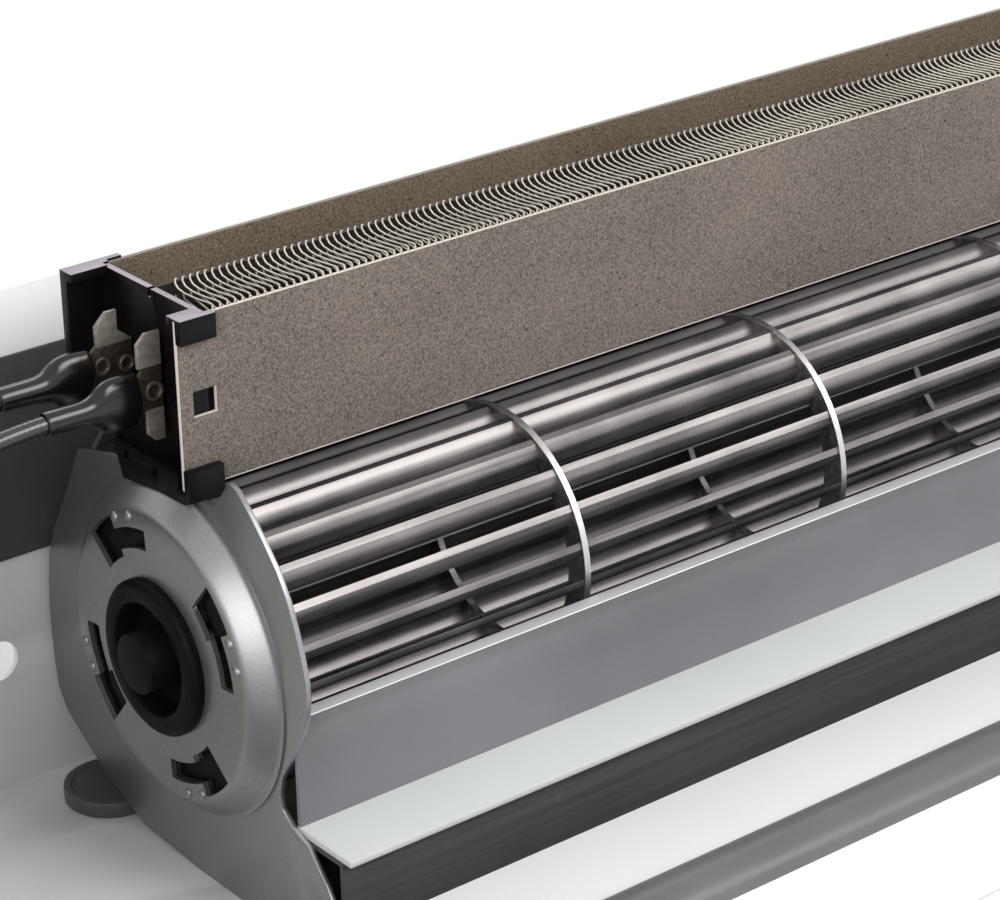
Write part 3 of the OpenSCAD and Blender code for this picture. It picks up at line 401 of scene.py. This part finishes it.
def openEdit(thing, kind="FACE"):
    chooseOnly(thing)
    bpy.ops.object.mode_set(mode="EDIT")
    bpy.ops.mesh.select_mode(type=kind)
    bpy.ops.mesh.select_all(action="DESELECT")


def closeEdit(merge=0.001):
    bpy.ops.mesh.select_mode(type="VERT")
    bpy.ops.mesh.select_all(action="SELECT")
    bpy.ops.mesh.remove_doubles(threshold=merge * mm)
    bpy.ops.mesh.normals_make_consistent(inside=False)
    bpy.ops.object.mode_set(mode="OBJECT")


def pickFaces(thing, wanted):
    # chooses the faces whose middle, normal and corners pass the test
    bpy.ops.mesh.select_all(action="DESELECT")
    mesh = bmesh.from_edit_mesh(thing.data)
    for face in mesh.faces:
        corners = [(corner.co - hub) / mm for corner in face.verts]
        if wanted((face.calc_center_median() - hub) / mm, face.normal, corners):
            face.select_set(True)
    bmesh.update_edit_mesh(thing.data)


def pickCorners(thing, wanted):
    bpy.ops.mesh.select_all(action="DESELECT")
    mesh = bmesh.from_edit_mesh(thing.data)
    for corner in mesh.verts:
        if wanted((corner.co - hub) / mm):
            corner.select_set(True)
    mesh.select_flush(True)
    bmesh.update_edit_mesh(thing.data)


def shift(move):
    bpy.ops.transform.translate(value=Vector(move) * mm)


def pullOut(middle, steps):
    # each step pulls the chosen faces or edges on, then sizes them about their new middle
    for move, size in steps:
        middle = [a + b for a, b in zip(middle, move)]
        bpy.ops.mesh.extrude_region_move(TRANSFORM_OT_translate={"value": Vector(move) * mm})
        bpy.ops.transform.resize(value=size, center_override=at(*middle))
    return middle


def cutAway(place, away):
    # slices the whole piece and drops the side that the arrow points to
    bpy.ops.mesh.select_all(action="SELECT")
    bpy.ops.mesh.bisect(plane_co=at(*place), plane_no=away, use_fill=True, clear_outer=True)


def scoreLine(place, across):
    bpy.ops.mesh.select_all(action="SELECT")
    bpy.ops.mesh.bisect(plane_co=at(*place), plane_no=across)


def copyOf(thing, name, move):
    chooseOnly(thing)
    bpy.ops.object.duplicate(linked=False)
    twin = bpy.context.object
    twin.location = Vector(move) * mm
    return named(name)


def joinAll(things):
    chooseOnly(*things)
    bpy.ops.object.join()
    return things[0]


def wireAlong(name, places, radius, rounds=1, eased=False, closed=False):
    # a round wire through the places, or eased between them with capped ends, made a mesh
    curve = bpy.data.curves.new(name, "CURVE")
    curve.dimensions = "3D"
    curve.bevel_depth = radius * mm
    curve.bevel_resolution = rounds
    curve.use_fill_caps = eased
    curve.resolution_u = 6
    spline = curve.splines.new("NURBS" if eased else "POLY")
    spline.points.add(len(places) - 1)
    for point, place in zip(spline.points, places):
        point.co = (*at(*place), 1)
    spline.use_cyclic_u = closed
    if eased:
        spline.order_u = 4
        spline.use_endpoint_u = True
    thing = bpy.data.objects.new(name, curve)
    bpy.context.scene.collection.objects.link(thing)
    chooseOnly(thing)
    bpy.ops.object.convert(target="MESH")
    return thing


def copyOfNode(node, name, merge=0.002, flat=0.8):
    # a node's shape as a piece of its own, its loose triangles merged and its flat faces made whole
    source = nodes[node]
    thing = source.copy()
    thing.data = source.data.copy()
    for key in list(thing.keys()):
        if key.startswith("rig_"):
            del thing[key]
    thing.parent = None
    thing.name = name
    thing.data.name = name
    bpy.context.scene.collection.objects.link(thing)
    chooseOnly(thing)
    bpy.ops.object.mode_set(mode="EDIT")
    bpy.ops.mesh.select_all(action="SELECT")
    bpy.ops.mesh.remove_doubles(threshold=merge * mm)
    bpy.ops.mesh.customdata_custom_splitnormals_clear()
    bpy.ops.mesh.dissolve_limited(angle_limit=math.radians(flat))
    bpy.ops.object.mode_set(mode="OBJECT")
    return thing


def camelName(node):
    words = node.split("_")
    return words[0] + "".join(w.capitalize() for w in words[1:])


# Nodes whose shape is right: the finish each takes, and the width of its broken edges in millimetres.
# A node with no width keeps its own mesh.
dressed = {
    "whitePaint": {"case_shell": 0.35, "end_cap_left": 0.5, "end_cap_right": 0.5},
    "darkSheet": {"rear_shield": 0.2},
    "galvanised": {"side_plate_right": 0.15, "scroll_shell": 0},
    "channelZinc": {"base_channel": 0.3},
    "blackRubber": {"cable_grommet": 0.3, "bearing_mount": 0.3, "drive_hub": 0.4},
    "bronze": {"bearing_bush": 0, "motor_bearings": 0},
    "mica": {"mica_front": 0.16},
    # the middle board's darker mica is painted shade
    "micaDeep": {"mica_middle": 0},
    "micaInner": {"mica_rear": 0},
    "blackPlastic": {"heater_holder_left": 0.35, "heater_holder_right": 0.35, "cooling_fan": 0.15},
    "sleeve": {"motor_leads": 0},
    "blockPlastic": {"terminal_block": 0.4, "coil_bobbin": 0.15},
    "thermostat": {"thermal_cutout": 0.3},
    "coreSteel": {"motor_core": 0.3, "motor_rotor": 0.3},
    "zincBracket": {"motor_bracket_front": 0.3, "motor_bracket_rear": 0.3},
    "brightBlades": {"impeller_cage": 0, "impeller_end_left": 0.2, "impeller_end_right": 0.2},
    "groundSteel": {"stub_shaft": 0.2, "motor_shaft": 0.2},
}
for finishName, group in dressed.items():
    for node, width in group.items():
        if width:
            piece = copyOfNode(node, camelName(node))
            breakEdges(piece, width)
            settle(piece, node, finishName)
        else:
            giveFinish(nodes[node], finishName)
print("nodes dressed")

# Rail on the front flange: the node's shape with a smooth round top
rail = copyOfNode("edge_rail", "edgeRail")
softShade(rail, roundShade)
settle(rail, "edge_rail", "greyRail")

# Left side plate: the sheet from its node, the pressed disc pulled out ring by ring from the hub hole.
# Rings are (radius, x), slots are (inner radius, outer radius, first angle, last angle) in each quarter.
discShape = {
    "sides": 144, "hub": 11.0, "face": -1.2, "thickness": 0.9,
    "rings": [
        (13.4, -1.2), (17.2, -1.2), (18.4, -1.2), (22.0, -1.2), (24.3, -1.2),
        (24.7, -1.12), (25.1, -0.88), (25.5, -0.5), (26.3, 0.35), (27.1, 1.2),
        (27.9, 2.05), (28.3, 2.45), (28.6, 2.72), (29.0, 2.9), (29.4, 2.97),
    ],
    "slots": [(17.2, 24.3, 39.5, 59.5), (18.4, 22.0, 59.5, 84.5)],
    "clawGap": 1.6, "clawThickness": 0.8, "clawEdge": 0.2,
    "dimpleReach": 23.9, "dimpleAngles": (63.5, 74.5), "dimpleSize": 0.95, "dimpleRise": 0.35,
    "dimpleShare": 0.7, "dimpleSides": 14, "dimpleRings": 8,
    "cutRadius": 28.3, "sheetEdge": 0.15, "shade": 45,
}


def inSlot(middle):
    reach = math.hypot(middle.y, middle.z)
    angle = math.degrees(math.atan2(middle.z, middle.y)) % 90
    return any(low < reach < high and start < angle < end for low, high, start, end in discShape["slots"])


def makeDisc():
    bpy.ops.object.select_all(action="DESELECT")
    bpy.ops.mesh.primitive_circle_add(vertices=discShape["sides"], radius=discShape["hub"] * mm,
                                      location=at(discShape["face"], 0, 0), rotation=(0, math.pi / 2, 0))
    disc = named("plateDisc")
    openEdit(disc, "EDGE")
    bpy.ops.mesh.select_all(action="SELECT")
    reach, place = discShape["hub"], [discShape["face"], 0, 0]
    for wide, x in discShape["rings"]:
        place = pullOut(place, [((x - place[0], 0, 0), (1, wide / reach, wide / reach))])
        reach = wide
    bpy.ops.mesh.select_mode(type="FACE")
    pickFaces(disc, lambda middle, normal, corners: inSlot(middle))
    bpy.ops.mesh.separate(type="SELECTED")
    bpy.ops.object.mode_set(mode="OBJECT")
    claws = [thing for thing in bpy.context.selected_objects if thing != disc][0]
    openEdit(disc)
    closeEdit()
    useModifier(disc, "SOLIDIFY", thickness=discShape["thickness"] * mm, offset=0)
    return disc, claws


def makeDimples():
    x, reach = discShape["face"] - discShape["dimpleRise"], discShape["dimpleReach"]
    angles, quarters = discShape["dimpleAngles"], (0, 90, 180, 270)
    turns = [math.radians(angle + quarter) for angle in angles for quarter in quarters]
    places = [Vector((x, reach * math.cos(turn), reach * math.sin(turn))) for turn in turns]
    bpy.ops.object.select_all(action="DESELECT")
    sides, rings, size = (discShape[key] for key in ("dimpleSides", "dimpleRings", "dimpleSize"))
    bpy.ops.mesh.primitive_uv_sphere_add(segments=sides, ring_count=rings, radius=size * mm,
                                         location=at(*places[0]))
    first = named("plateDimple")
    openEdit(first)
    bpy.ops.mesh.select_all(action="SELECT")
    bpy.ops.transform.resize(value=(discShape["dimpleShare"], 1, 1), center_override=at(*places[0]))
    closeEdit()
    softShade(first, roundShade)
    return [first] + [copyOf(first, "plateDimple", place - places[0]) for place in places[1:]]


def makePlateLeft():
    plate = copyOfNode("side_plate_left", "sidePlateLeft")
    openEdit(plate)
    inner = discShape["cutRadius"]
    pickFaces(plate, lambda middle, normal, corners: all(math.hypot(c.y, c.z) < inner for c in corners))
    bpy.ops.mesh.delete(type="FACE")
    closeEdit()
    breakEdges(plate, discShape["sheetEdge"])
    disc, claws = makeDisc()
    softShade(disc, discShape["shade"])
    settle(joinAll([plate, disc, *makeDimples()]), "side_plate_left", "galvanised")
    claws.name = "mountClaws"
    openEdit(claws)
    bpy.ops.mesh.select_all(action="SELECT")
    shift((discShape["clawGap"], 0, 0))
    closeEdit()
    useModifier(claws, "SOLIDIFY", thickness=discShape["clawThickness"] * mm, offset=0)
    breakEdges(claws, discShape["clawEdge"])
    settle(claws, "bearing_mount", "blackRubber", stands=False)


makePlateLeft()
print("side plate pressed")

# Blanking plug: a low round cap with a soft rim and a shallow dish
plugShape = {
    "place": (5.5, 30.0, -40.6), "radius": 8.5, "height": 2.8, "sides": 72, "rim": 1.3, "dish": 0.35,
    "dishShare": 0.97, "edge": 0.7, "edgeSteps": 4,
}


def makePlug():
    height = plugShape["height"]
    plug = addRod("blankingPlug", plugShape["place"], plugShape["radius"], height, plugShape["sides"], "Z")
    openEdit(plug)
    pickFaces(plug, lambda middle, normal, corners: normal.z > squareOn)
    bpy.ops.mesh.inset(thickness=plugShape["rim"] * mm)
    x, y, z = plugShape["place"]
    share = plugShape["dishShare"]
    pullOut([x, y, z + height / 2], [((0, 0, -plugShape["dish"]), (share, share, 1))])
    closeEdit()
    breakEdges(plug, plugShape["edge"], plugShape["edgeSteps"])
    settle(plug, "blanking_plug", "darkPlastic")


makePlug()

# Strip on the channel: a flat bar with broken edges and a slight rise along its back
stripShape = {
    "low": (4.0, -44.1, -22.2), "high": (375.6, -29.3, -21.0), "edge": 0.3, "back": -30.6, "rise": 0.15,
}


def makeStrip():
    strip = addBox("shelfStrip", stripShape["low"], stripShape["high"])
    back = stripShape["back"]
    openEdit(strip)
    scoreLine((0, back, 0), (0, 1, 0))
    pickFaces(strip, lambda middle, normal, corners: normal.z > squareOn and middle.y > back)
    shift((0, 0, stripShape["rise"]))
    closeEdit()
    breakEdges(strip, stripShape["edge"])
    settle(strip, "shelf_strip", "stripPaint")


makeStrip()

# Front panel: its node with a rounder lip and a fine crease under it
panelShape = {"crease": (-3.55, -3.95), "sunk": 0.16, "edge": 0.4, "edgeSteps": 3, "edgeAngle": 30}


def makePanel():
    panel = copyOfNode("front_panel", "frontPanel")
    openEdit(panel)
    high, low = panelShape["crease"]
    for z in panelShape["crease"]:
        scoreLine((0, 0, z), (0, 0, 1))
    pickFaces(panel, lambda middle, normal, corners: normal.y < -squareOn and low < middle.z < high)
    shift((0, panelShape["sunk"], 0))
    closeEdit()
    breakEdges(panel, panelShape["edge"], panelShape["edgeSteps"], panelShape["edgeAngle"])
    settle(panel, "front_panel", "panelZinc")


makePanel()
print("plug, strip and panel made")

# Terminals: a flag bent off a base on the holder's web, with a dark ear and round eyelets.
# Spans are (left, right, low, high), bases (near, far, low, high), cuts are lines (x, z, x, z), a flare is
# (height, reach, drop) and eyelets are (x, z, radius).
terminalShape = {
    "thick": 0.7, "edge": 0.12, "earThick": 0.63, "earEdge": 0.15,
    "baseSides": (4.1, 4.9), "baseRise": 1.2, "baseShare": 0.6,
    "eyelet": {
        "depth": 1.7, "sides": 28, "rimShare": 0.38, "sunk": 1.6, "sunkShare": 0.92,
        "edge": 0.14, "edgeSteps": 3,
    },
    "rear": {
        "flat": 12.5, "base": (12.6, 20.7, 36.0, 48.5), "head": (-1.85, 2.3, 50.6, 56.3),
        "flare": (2.2, 2.5, 1.92), "headCut": (-1.85, 54.2, -0.4, 56.3),
        "ear": (-3.3, 4.9, 44.6, 50.9),
        "earCuts": [(-3.3, 49.6, -1.9, 50.9), (-2.4, 44.6, -3.3, 45.6)],
        "eyelets": [(-1.1, 47.4, 1.55), (3.5, 46.8, 1.45)],
    },
    "front": {
        "flat": 4.1, "base": (4.2, 8.0, 36.0, 52.0), "head": (0.4, 4.9, 48.9, 54.7),
        "headCut": (0.4, 53.0, 2.3, 54.7),
        "foot": (1.6, 4.9, 35.9, 41.6), "footCut": (3.1, 35.9, 1.6, 37.7),
        "ear": (0.2, 4.9, 41.4, 49.1),
        "earCuts": [(0.2, 47.6, 1.3, 49.1), (1.2, 41.4, 0.2, 43.0)],
        "eyelets": [(3.1, 44.7, 1.7)],
    },
}


def addFlag(name, flat, span, cuts, thick):
    # an upright plate facing the front, with corners sliced off along lines that run clockwise
    left, right, low, high = span
    flag = addBox(name, (left, flat - thick / 2, low), (right, flat + thick / 2, high))
    openEdit(flag)
    for x0, z0, x1, z1 in cuts:
        cutAway((x0, flat, z0), (z0 - z1, 0, x1 - x0))
    closeEdit()
    return flag


def addEyelet(x, flat, z, radius):
    values = terminalShape["eyelet"]
    depth, share = values["depth"], values["sunkShare"]
    eyelet = addRod("terminalEyelet", (x, flat, z), radius, depth, values["sides"], "Y")
    openEdit(eyelet)
    pickFaces(eyelet, lambda middle, normal, corners: normal.y < -squareOn)
    bpy.ops.mesh.inset(thickness=values["rimShare"] * radius * mm)
    pullOut([x, flat - depth / 2, z], [((0, values["sunk"], 0), (share, 1, share))])
    closeEdit()
    breakEdges(eyelet, values["edge"], values["edgeSteps"])
    return eyelet


def flareHead(head, flat, span, flare):
    # the head's lower part reaches out to the right and slopes down to its end
    (right, low), (up, out, drop) = span[1:3], flare
    openEdit(head)
    scoreLine((0, flat, low + up), (0, 0, 1))
    pickFaces(head, lambda middle, normal, corners: normal.x > squareOn and middle.z < low + up)
    pullOut([right, flat, low + up / 2], [((out, 0, 0), (1, 1, 1))])
    pickCorners(head, lambda corner: corner.x > right + out / 2 and corner.z > low + up / 2)
    shift((0, 0, -drop))
    closeEdit()


def makeTerminal(node, key):
    shape, thick = terminalShape[key], terminalShape["thick"]
    flat = shape["flat"]
    head = addFlag(camelName(node), flat, shape["head"], [shape["headCut"]], thick)
    if "flare" in shape:
        flareHead(head, flat, shape["head"], shape["flare"])
    parts = [head]
    if "foot" in shape:
        parts.append(addFlag("terminalFoot", flat, shape["foot"], [shape["footCut"]], thick))
    left, right = terminalShape["baseSides"]
    near, far, low, high = shape["base"]
    base = addBox("terminalBase", (left, near, low), (right, far, high))
    openEdit(base)
    pickFaces(base, lambda middle, normal, corners: normal.z > squareOn)
    pullOut([(left + right) / 2, (near + far) / 2, high],
            [((0, 0, terminalShape["baseRise"]), (1, terminalShape["baseShare"], 1))])
    closeEdit()
    parts.append(base)
    for part in parts:
        breakEdges(part, terminalShape["edge"])
    settle(joinAll(parts), node, "nickel")
    ear = addFlag(camelName(node) + "Ear", flat, shape["ear"], shape["earCuts"], terminalShape["earThick"])
    breakEdges(ear, terminalShape["earEdge"])
    settle(ear, node, "micaEar", stands=False)
    return [addEyelet(x, flat, z, radius) for x, z, radius in shape["eyelets"]]


eyelets = joinAll(makeTerminal("terminal_rear", "rear") + makeTerminal("terminal_front", "front"))
eyelets.name = "terminalEyelets"
settle(eyelets, "terminal_rivets", "darkNickel")
print("terminals made")

# Insulating boots, drawn out from a flat mouth to a round neck; each step is (move, size)
bootShape = {
    "mouth": (0.0, 4.1, 44.2), "radius": 2.2, "length": 1.5, "sides": 24,
    "flatten": 2.05, "wall": 0.6, "hollow": 1.2, "rounds": 2,
    "steps": [
        ((-1.2, 0, 0), (1, 1.04, 1.05)), ((-2.6, 0, 0), (1, 1.0, 0.99)),
        ((-1.6, 0, 0), (1, 0.96, 0.85)), ((-1.3, 0, 0), (1, 0.94, 0.70)),
        ((-1.2, 0, 0), (1, 0.97, 0.80)), ((-2.5, 0, 0.1), (1, 0.99, 0.95)),
        ((-4.4, 0, 0.1), (1, 0.98, 0.98)), ((-0.8, 0, 0), (1, 0.97, 0.97)),
        ((0, 0, 0), (1, 0.84, 0.80)), ((2.0, 0, 0), (1, 1, 1)),
    ],
    "rearShift": (-3.3, 8.4, 2.2),
}


def makeBoots():
    x, y, z = bootShape["mouth"]
    length, deep = bootShape["length"], bootShape["hollow"]
    boot = addRod("bootFront", (x - length / 2, y, z), bootShape["radius"], length, bootShape["sides"])
    openEdit(boot)
    bpy.ops.mesh.select_all(action="SELECT")
    bpy.ops.transform.resize(value=(1, 1, bootShape["flatten"]), center_override=at(x, y, z))
    pickFaces(boot, lambda middle, normal, corners: normal.x > squareOn)
    bpy.ops.mesh.inset(thickness=bootShape["wall"] * mm)
    pullOut([x, y, z], [((-deep, 0, 0), (1, 1, 1))])
    pickFaces(boot, lambda middle, normal, corners: normal.x < -squareOn and middle.x < x - deep)
    pullOut([x - length, y, z], bootShape["steps"])
    closeEdit()
    useModifier(boot, "SUBSURF", levels=bootShape["rounds"], render_levels=bootShape["rounds"])
    softShade(boot, roundShade)
    rear = copyOf(boot, "bootRear", bootShape["rearShift"])
    settle(boot, "boot_front", "bootRubber")
    settle(rear, "boot_rear", "bootRubber")


makeBoots()

# Leads in short braided sleeves, from the boots down to the terminal block
leadShape = {
    "sleeve": 1.55, "sleeveRounds": 3, "lead": 1.05, "leadRounds": 2, "shade": 50,
    "frontSleeve": [(-14.5, 4.1, 44.4), (-18.0, 4.1, 44.4), (-22.0, 4.2, 44.2), (-26.8, 4.3, 43.6)],
    "frontLead": [
        (-25.5, 4.3, 43.8), (-33.0, 4.6, 42.4), (-44.0, 6.5, 40.5), (-62.0, 10.5, 34.0),
        (-71.0, 16.0, 14.0), (-71.0, 21.0, -6.0), (-71.0, 21.0, -24.4),
    ],
    "rearSleeve": [(-18.0, 12.5, 46.6), (-22.0, 12.5, 46.8), (-26.0, 13.0, 46.6), (-33.0, 14.5, 45.0)],
    "rearLead": [
        (-31.5, 14.2, 45.4), (-36.0, 15.5, 44.2), (-48.0, 19.0, 40.0), (-57.5, 20.5, 32.0),
        (-59.0, 21.0, 14.0), (-59.0, 21.0, -6.0), (-59.0, 21.0, -24.4),
    ],
}


def makeLeads():
    for side in ("front", "rear"):
        for part, look in (("Sleeve", "sleeve"), ("Lead", "whiteLead")):
            name, key = side + part, part.lower()
            tube = wireAlong(name, leadShape[name], leadShape[key], leadShape[key + "Rounds"], eased=True)
            softShade(tube, leadShape["shade"])
            settle(tube, "lead_" + side, look, stands=part == "Sleeve")


makeLeads()
print("boots and leads made")

# Heating wire: one long wire stitched over the top edges of the front and the middle board
wireStitch = {
    "pitch": 1.42, "thickness": 0.38, "start": 8.4, "end": 371.0,
    "turn": [
        (0.0, -6.3, 57.2), (0.0, -6.2, 59.7), (0.0, -6.7, 60.7), (0.25, -6.3, 61.0), (0.5, -5.2, 60.85),
        (0.7, -0.9, 60.3), (0.9, 2.6, 60.05), (1.2, 4.9, 60.1), (1.6, 6.3, 60.5), (2.1, 7.0, 60.85),
        (2.6, 7.2, 60.75), (2.65, 7.8, 60.2), (2.3, 8.1, 59.2), (1.8, 6.4, 57.3), (1.1, 0.0, 56.9),
    ],
}


def makeHeatingWire():
    start, pitch = wireStitch["start"], wireStitch["pitch"]
    turns = int((wireStitch["end"] - start) / pitch)
    places = [(start + turn * pitch + x, y, z) for turn in range(turns) for x, y, z in wireStitch["turn"]]
    wire = wireAlong("heatingWire", places, wireStitch["thickness"] / 2)
    bpy.ops.object.shade_smooth()
    settle(wire, "heating_wire", "heaterAlloy")


makeHeatingWire()
print("heating wire stitched")

# Screw heads with a slot, one on every screw that shows; places are the undersides of the heads
headShape = {
    "radius": 2.8, "height": 1.6, "sides": 40, "slot": 0.7, "deep": 0.8,
    "edge": 0.25, "edgeSteps": 3, "edgeAngle": 50,
}
screwPlaces = {
    "plate_screws": {
        "along": "Z", "places": [(x, y, -41.0) for x in (10.0, 369.6) for y in (-24.0, -10.0)],
    },
    "cap_screws": {
        "along": "Z", "places": [(x, y, -40.0) for x in (-83.0, 474.6) for y in (-61.74, 24.2)],
    },
    "block_screws": {
        "along": "Z", "radius": 2.0, "places": [(x, 15.5, -27.1) for x in (-71.0, -59.0, -47.0)],
    },
    "motor_bolts": {
        "along": "X", "places": [
            (424.8, -20.0, 15.0), (424.8, 20.0, 15.0),
            (382.8, 0.0, 20.0), (382.8, -18.79, -6.84), (382.8, 18.79, -6.84),
        ],
    },
}


def makeScrewHead(place, radius, along):
    height, half = headShape["height"], headShape["slot"] / 2
    way = [int(axis == along) for axis in "XYZ"]
    middle = [p + w * height / 2 for p, w in zip(place, way)]
    head = addRod("head", middle, radius, height, headShape["sides"], along)
    openEdit(head)
    for side in (-half, half):
        scoreLine((middle[0], middle[1] + side, middle[2]), (0, 1, 0))
    out, level = Vector(way), place[1]
    pickFaces(head, lambda spot, normal, corners: normal.dot(out) > squareOn and abs(spot.y - level) < half)
    pullOut(middle, [([-headShape["deep"] * w for w in way], (1, 1, 1))])
    closeEdit()
    breakEdges(head, headShape["edge"], headShape["edgeSteps"], headShape["edgeAngle"])
    return head


for node, row in screwPlaces.items():
    radius = row.get("radius", headShape["radius"])
    screws = joinAll([makeScrewHead(place, radius, row["along"]) for place in row["places"]])
    screws.name = camelName(node)
    settle(screws, node, "zincScrews")
print("screw heads made")

# Motor coil: copper turns side by side over the bobbin's core
coilShape = {
    "low": (387.6, -38.2), "high": (420.0, -17.05), "corner": 3.0, "cornerSteps": 5, "wire": 0.45,
    "turns": 34, "first": -15.2, "step": 0.92, "coreEdge": 1.0,
}


def makeCoilTurn(y):
    (left, low), (right, high) = coilShape["low"], coilShape["high"]
    corner, steps = coilShape["corner"], coilShape["cornerSteps"]
    middles = [
        (right - corner, high - corner), (left + corner, high - corner),
        (left + corner, low + corner), (right - corner, low + corner),
    ]
    places = []
    for quarter, (x, z) in enumerate(middles):
        for step in range(steps + 1):
            angle = math.radians(90 * (quarter + step / steps))
            places.append((x + corner * math.cos(angle), y, z + corner * math.sin(angle)))
    turn = wireAlong("coilTurn", places, coilShape["wire"], closed=True)
    softShade(turn, roundShade)
    return turn


def makeCoil():
    core = copyOfNode("motor_coil", "motorCoil")
    breakEdges(core, coilShape["coreEdge"])
    first = makeCoilTurn(coilShape["first"])
    turns = [copyOf(first, "coilTurn", (0, coilShape["step"] * k, 0)) for k in range(1, coilShape["turns"])]
    settle(joinAll([core, first, *turns]), "motor_coil", "winding")


makeCoil()
print("coil wound")

# Camera at the photograph's angle, worked out from the rings, boards and disc that it shows
cameraView = {
    "azimuth": -38.0418, "elevation": 24.4492, "roll": -1.1628, "place": (-258.245, -419.552, 257.836),
    "focalPixels": 3376.55, "photoWidth": 1000, "sensor": 36, "nearest": 0.01, "farthest": 20,
}


def makeCamera():
    azimuth, elevation, roll = (math.radians(cameraView[k]) for k in ("azimuth", "elevation", "roll"))
    level = math.cos(elevation)
    back = Vector((math.sin(azimuth) * level, -math.cos(azimuth) * level, math.sin(elevation)))
    flat = Vector((math.cos(azimuth), math.sin(azimuth), 0))
    rise = back.cross(flat)
    right = flat * math.cos(roll) + rise * math.sin(roll)
    up = -flat * math.sin(roll) + rise * math.cos(roll)
    lens = bpy.data.cameras.new("camera")
    camera = bpy.data.objects.new("camera", lens)
    bpy.context.scene.collection.objects.link(camera)
    turn = Matrix((right, up, back)).transposed().to_4x4()
    camera.matrix_world = Matrix.Translation(at(*cameraView["place"])) @ turn
    lens.sensor_width = cameraView["sensor"]
    lens.lens = cameraView["focalPixels"] / cameraView["photoWidth"] * cameraView["sensor"]
    lens.clip_start = cameraView["nearest"]
    lens.clip_end = cameraView["farthest"]
    bpy.context.scene.camera = camera


makeCamera()

# Pale floor, soft lamps and a background that is white where the camera sees it; places and sizes in metres
studio = {
    "world": 0.50,
    "floor": {"size": 6.0, "height": -0.0005, "tone": 0.82, "rough": 0.8},
    "lamps": {
        "keyLamp": {
            "place": (0.4, -1.05, 1.05), "aim": (0.0, 0.0, 0.03), "size": (1.0, 0.7), "power": 17.5,
        },
        "sideLamp": {
            "place": (-1.15, -0.6, 0.52), "aim": (-0.1, 0.0, 0.05), "size": (0.7, 0.8), "power": 8.0,
        },
        "rimLamp": {
            "place": (0.2, 1.0, 1.0), "aim": (0.0, 0.0, 0.06), "size": (1.4, 0.4), "power": 7.0,
        },
    },
}


def makeWorld():
    # a strength of 1 for camera, glossy and transmitted rays, and a lower level for the light itself
    world = bpy.data.worlds.new("studioWorld")
    world.use_nodes = True
    bpy.context.scene.world = world
    tree = world.node_tree
    path = tree.nodes.new("ShaderNodeLightPath").outputs
    seen = addMath(tree, "MAXIMUM", path["Is Camera Ray"], path["Is Glossy Ray"])
    seen = addMath(tree, "MAXIMUM", seen, path["Is Transmission Ray"])
    background = tree.nodes["Background"]
    background.inputs["Color"].default_value = (1, 1, 1, 1)
    feed(tree, background.inputs["Strength"], addRange(tree, seen, (0.0, 1.0), (studio["world"], 1.0)))


def makeFloor():
    values = studio["floor"]
    bpy.ops.object.select_all(action="DESELECT")
    bpy.ops.mesh.primitive_plane_add(size=values["size"], location=(0, 0, values["height"]))
    floor = bpy.context.object
    floor.name = "floor"
    paint = bpy.data.materials.new("floorPaint")
    paint.use_nodes = True
    shader = paint.node_tree.nodes["Principled BSDF"]
    shader.inputs["Base Color"].default_value = (*[values["tone"]] * 3, 1)
    shader.inputs["Roughness"].default_value = values["rough"]
    floor.data.materials.append(paint)


def makeLamp(name, lamp):
    data = bpy.data.lights.new(name, "AREA")
    data.shape = "RECTANGLE"
    data.size, data.size_y = lamp["size"]
    data.energy = lamp["power"]
    thing = bpy.data.objects.new(name, data)
    bpy.context.scene.collection.objects.link(thing)
    thing.location = lamp["place"]
    thing.rotation_euler = (Vector(lamp["place"]) - Vector(lamp["aim"])).to_track_quat("Z", "Y").to_euler()


makeWorld()
makeFloor()
for name, lamp in studio["lamps"].items():
    makeLamp(name, lamp)
bpy.context.scene.view_settings.view_transform = "Standard"
print("camera and studio placed")
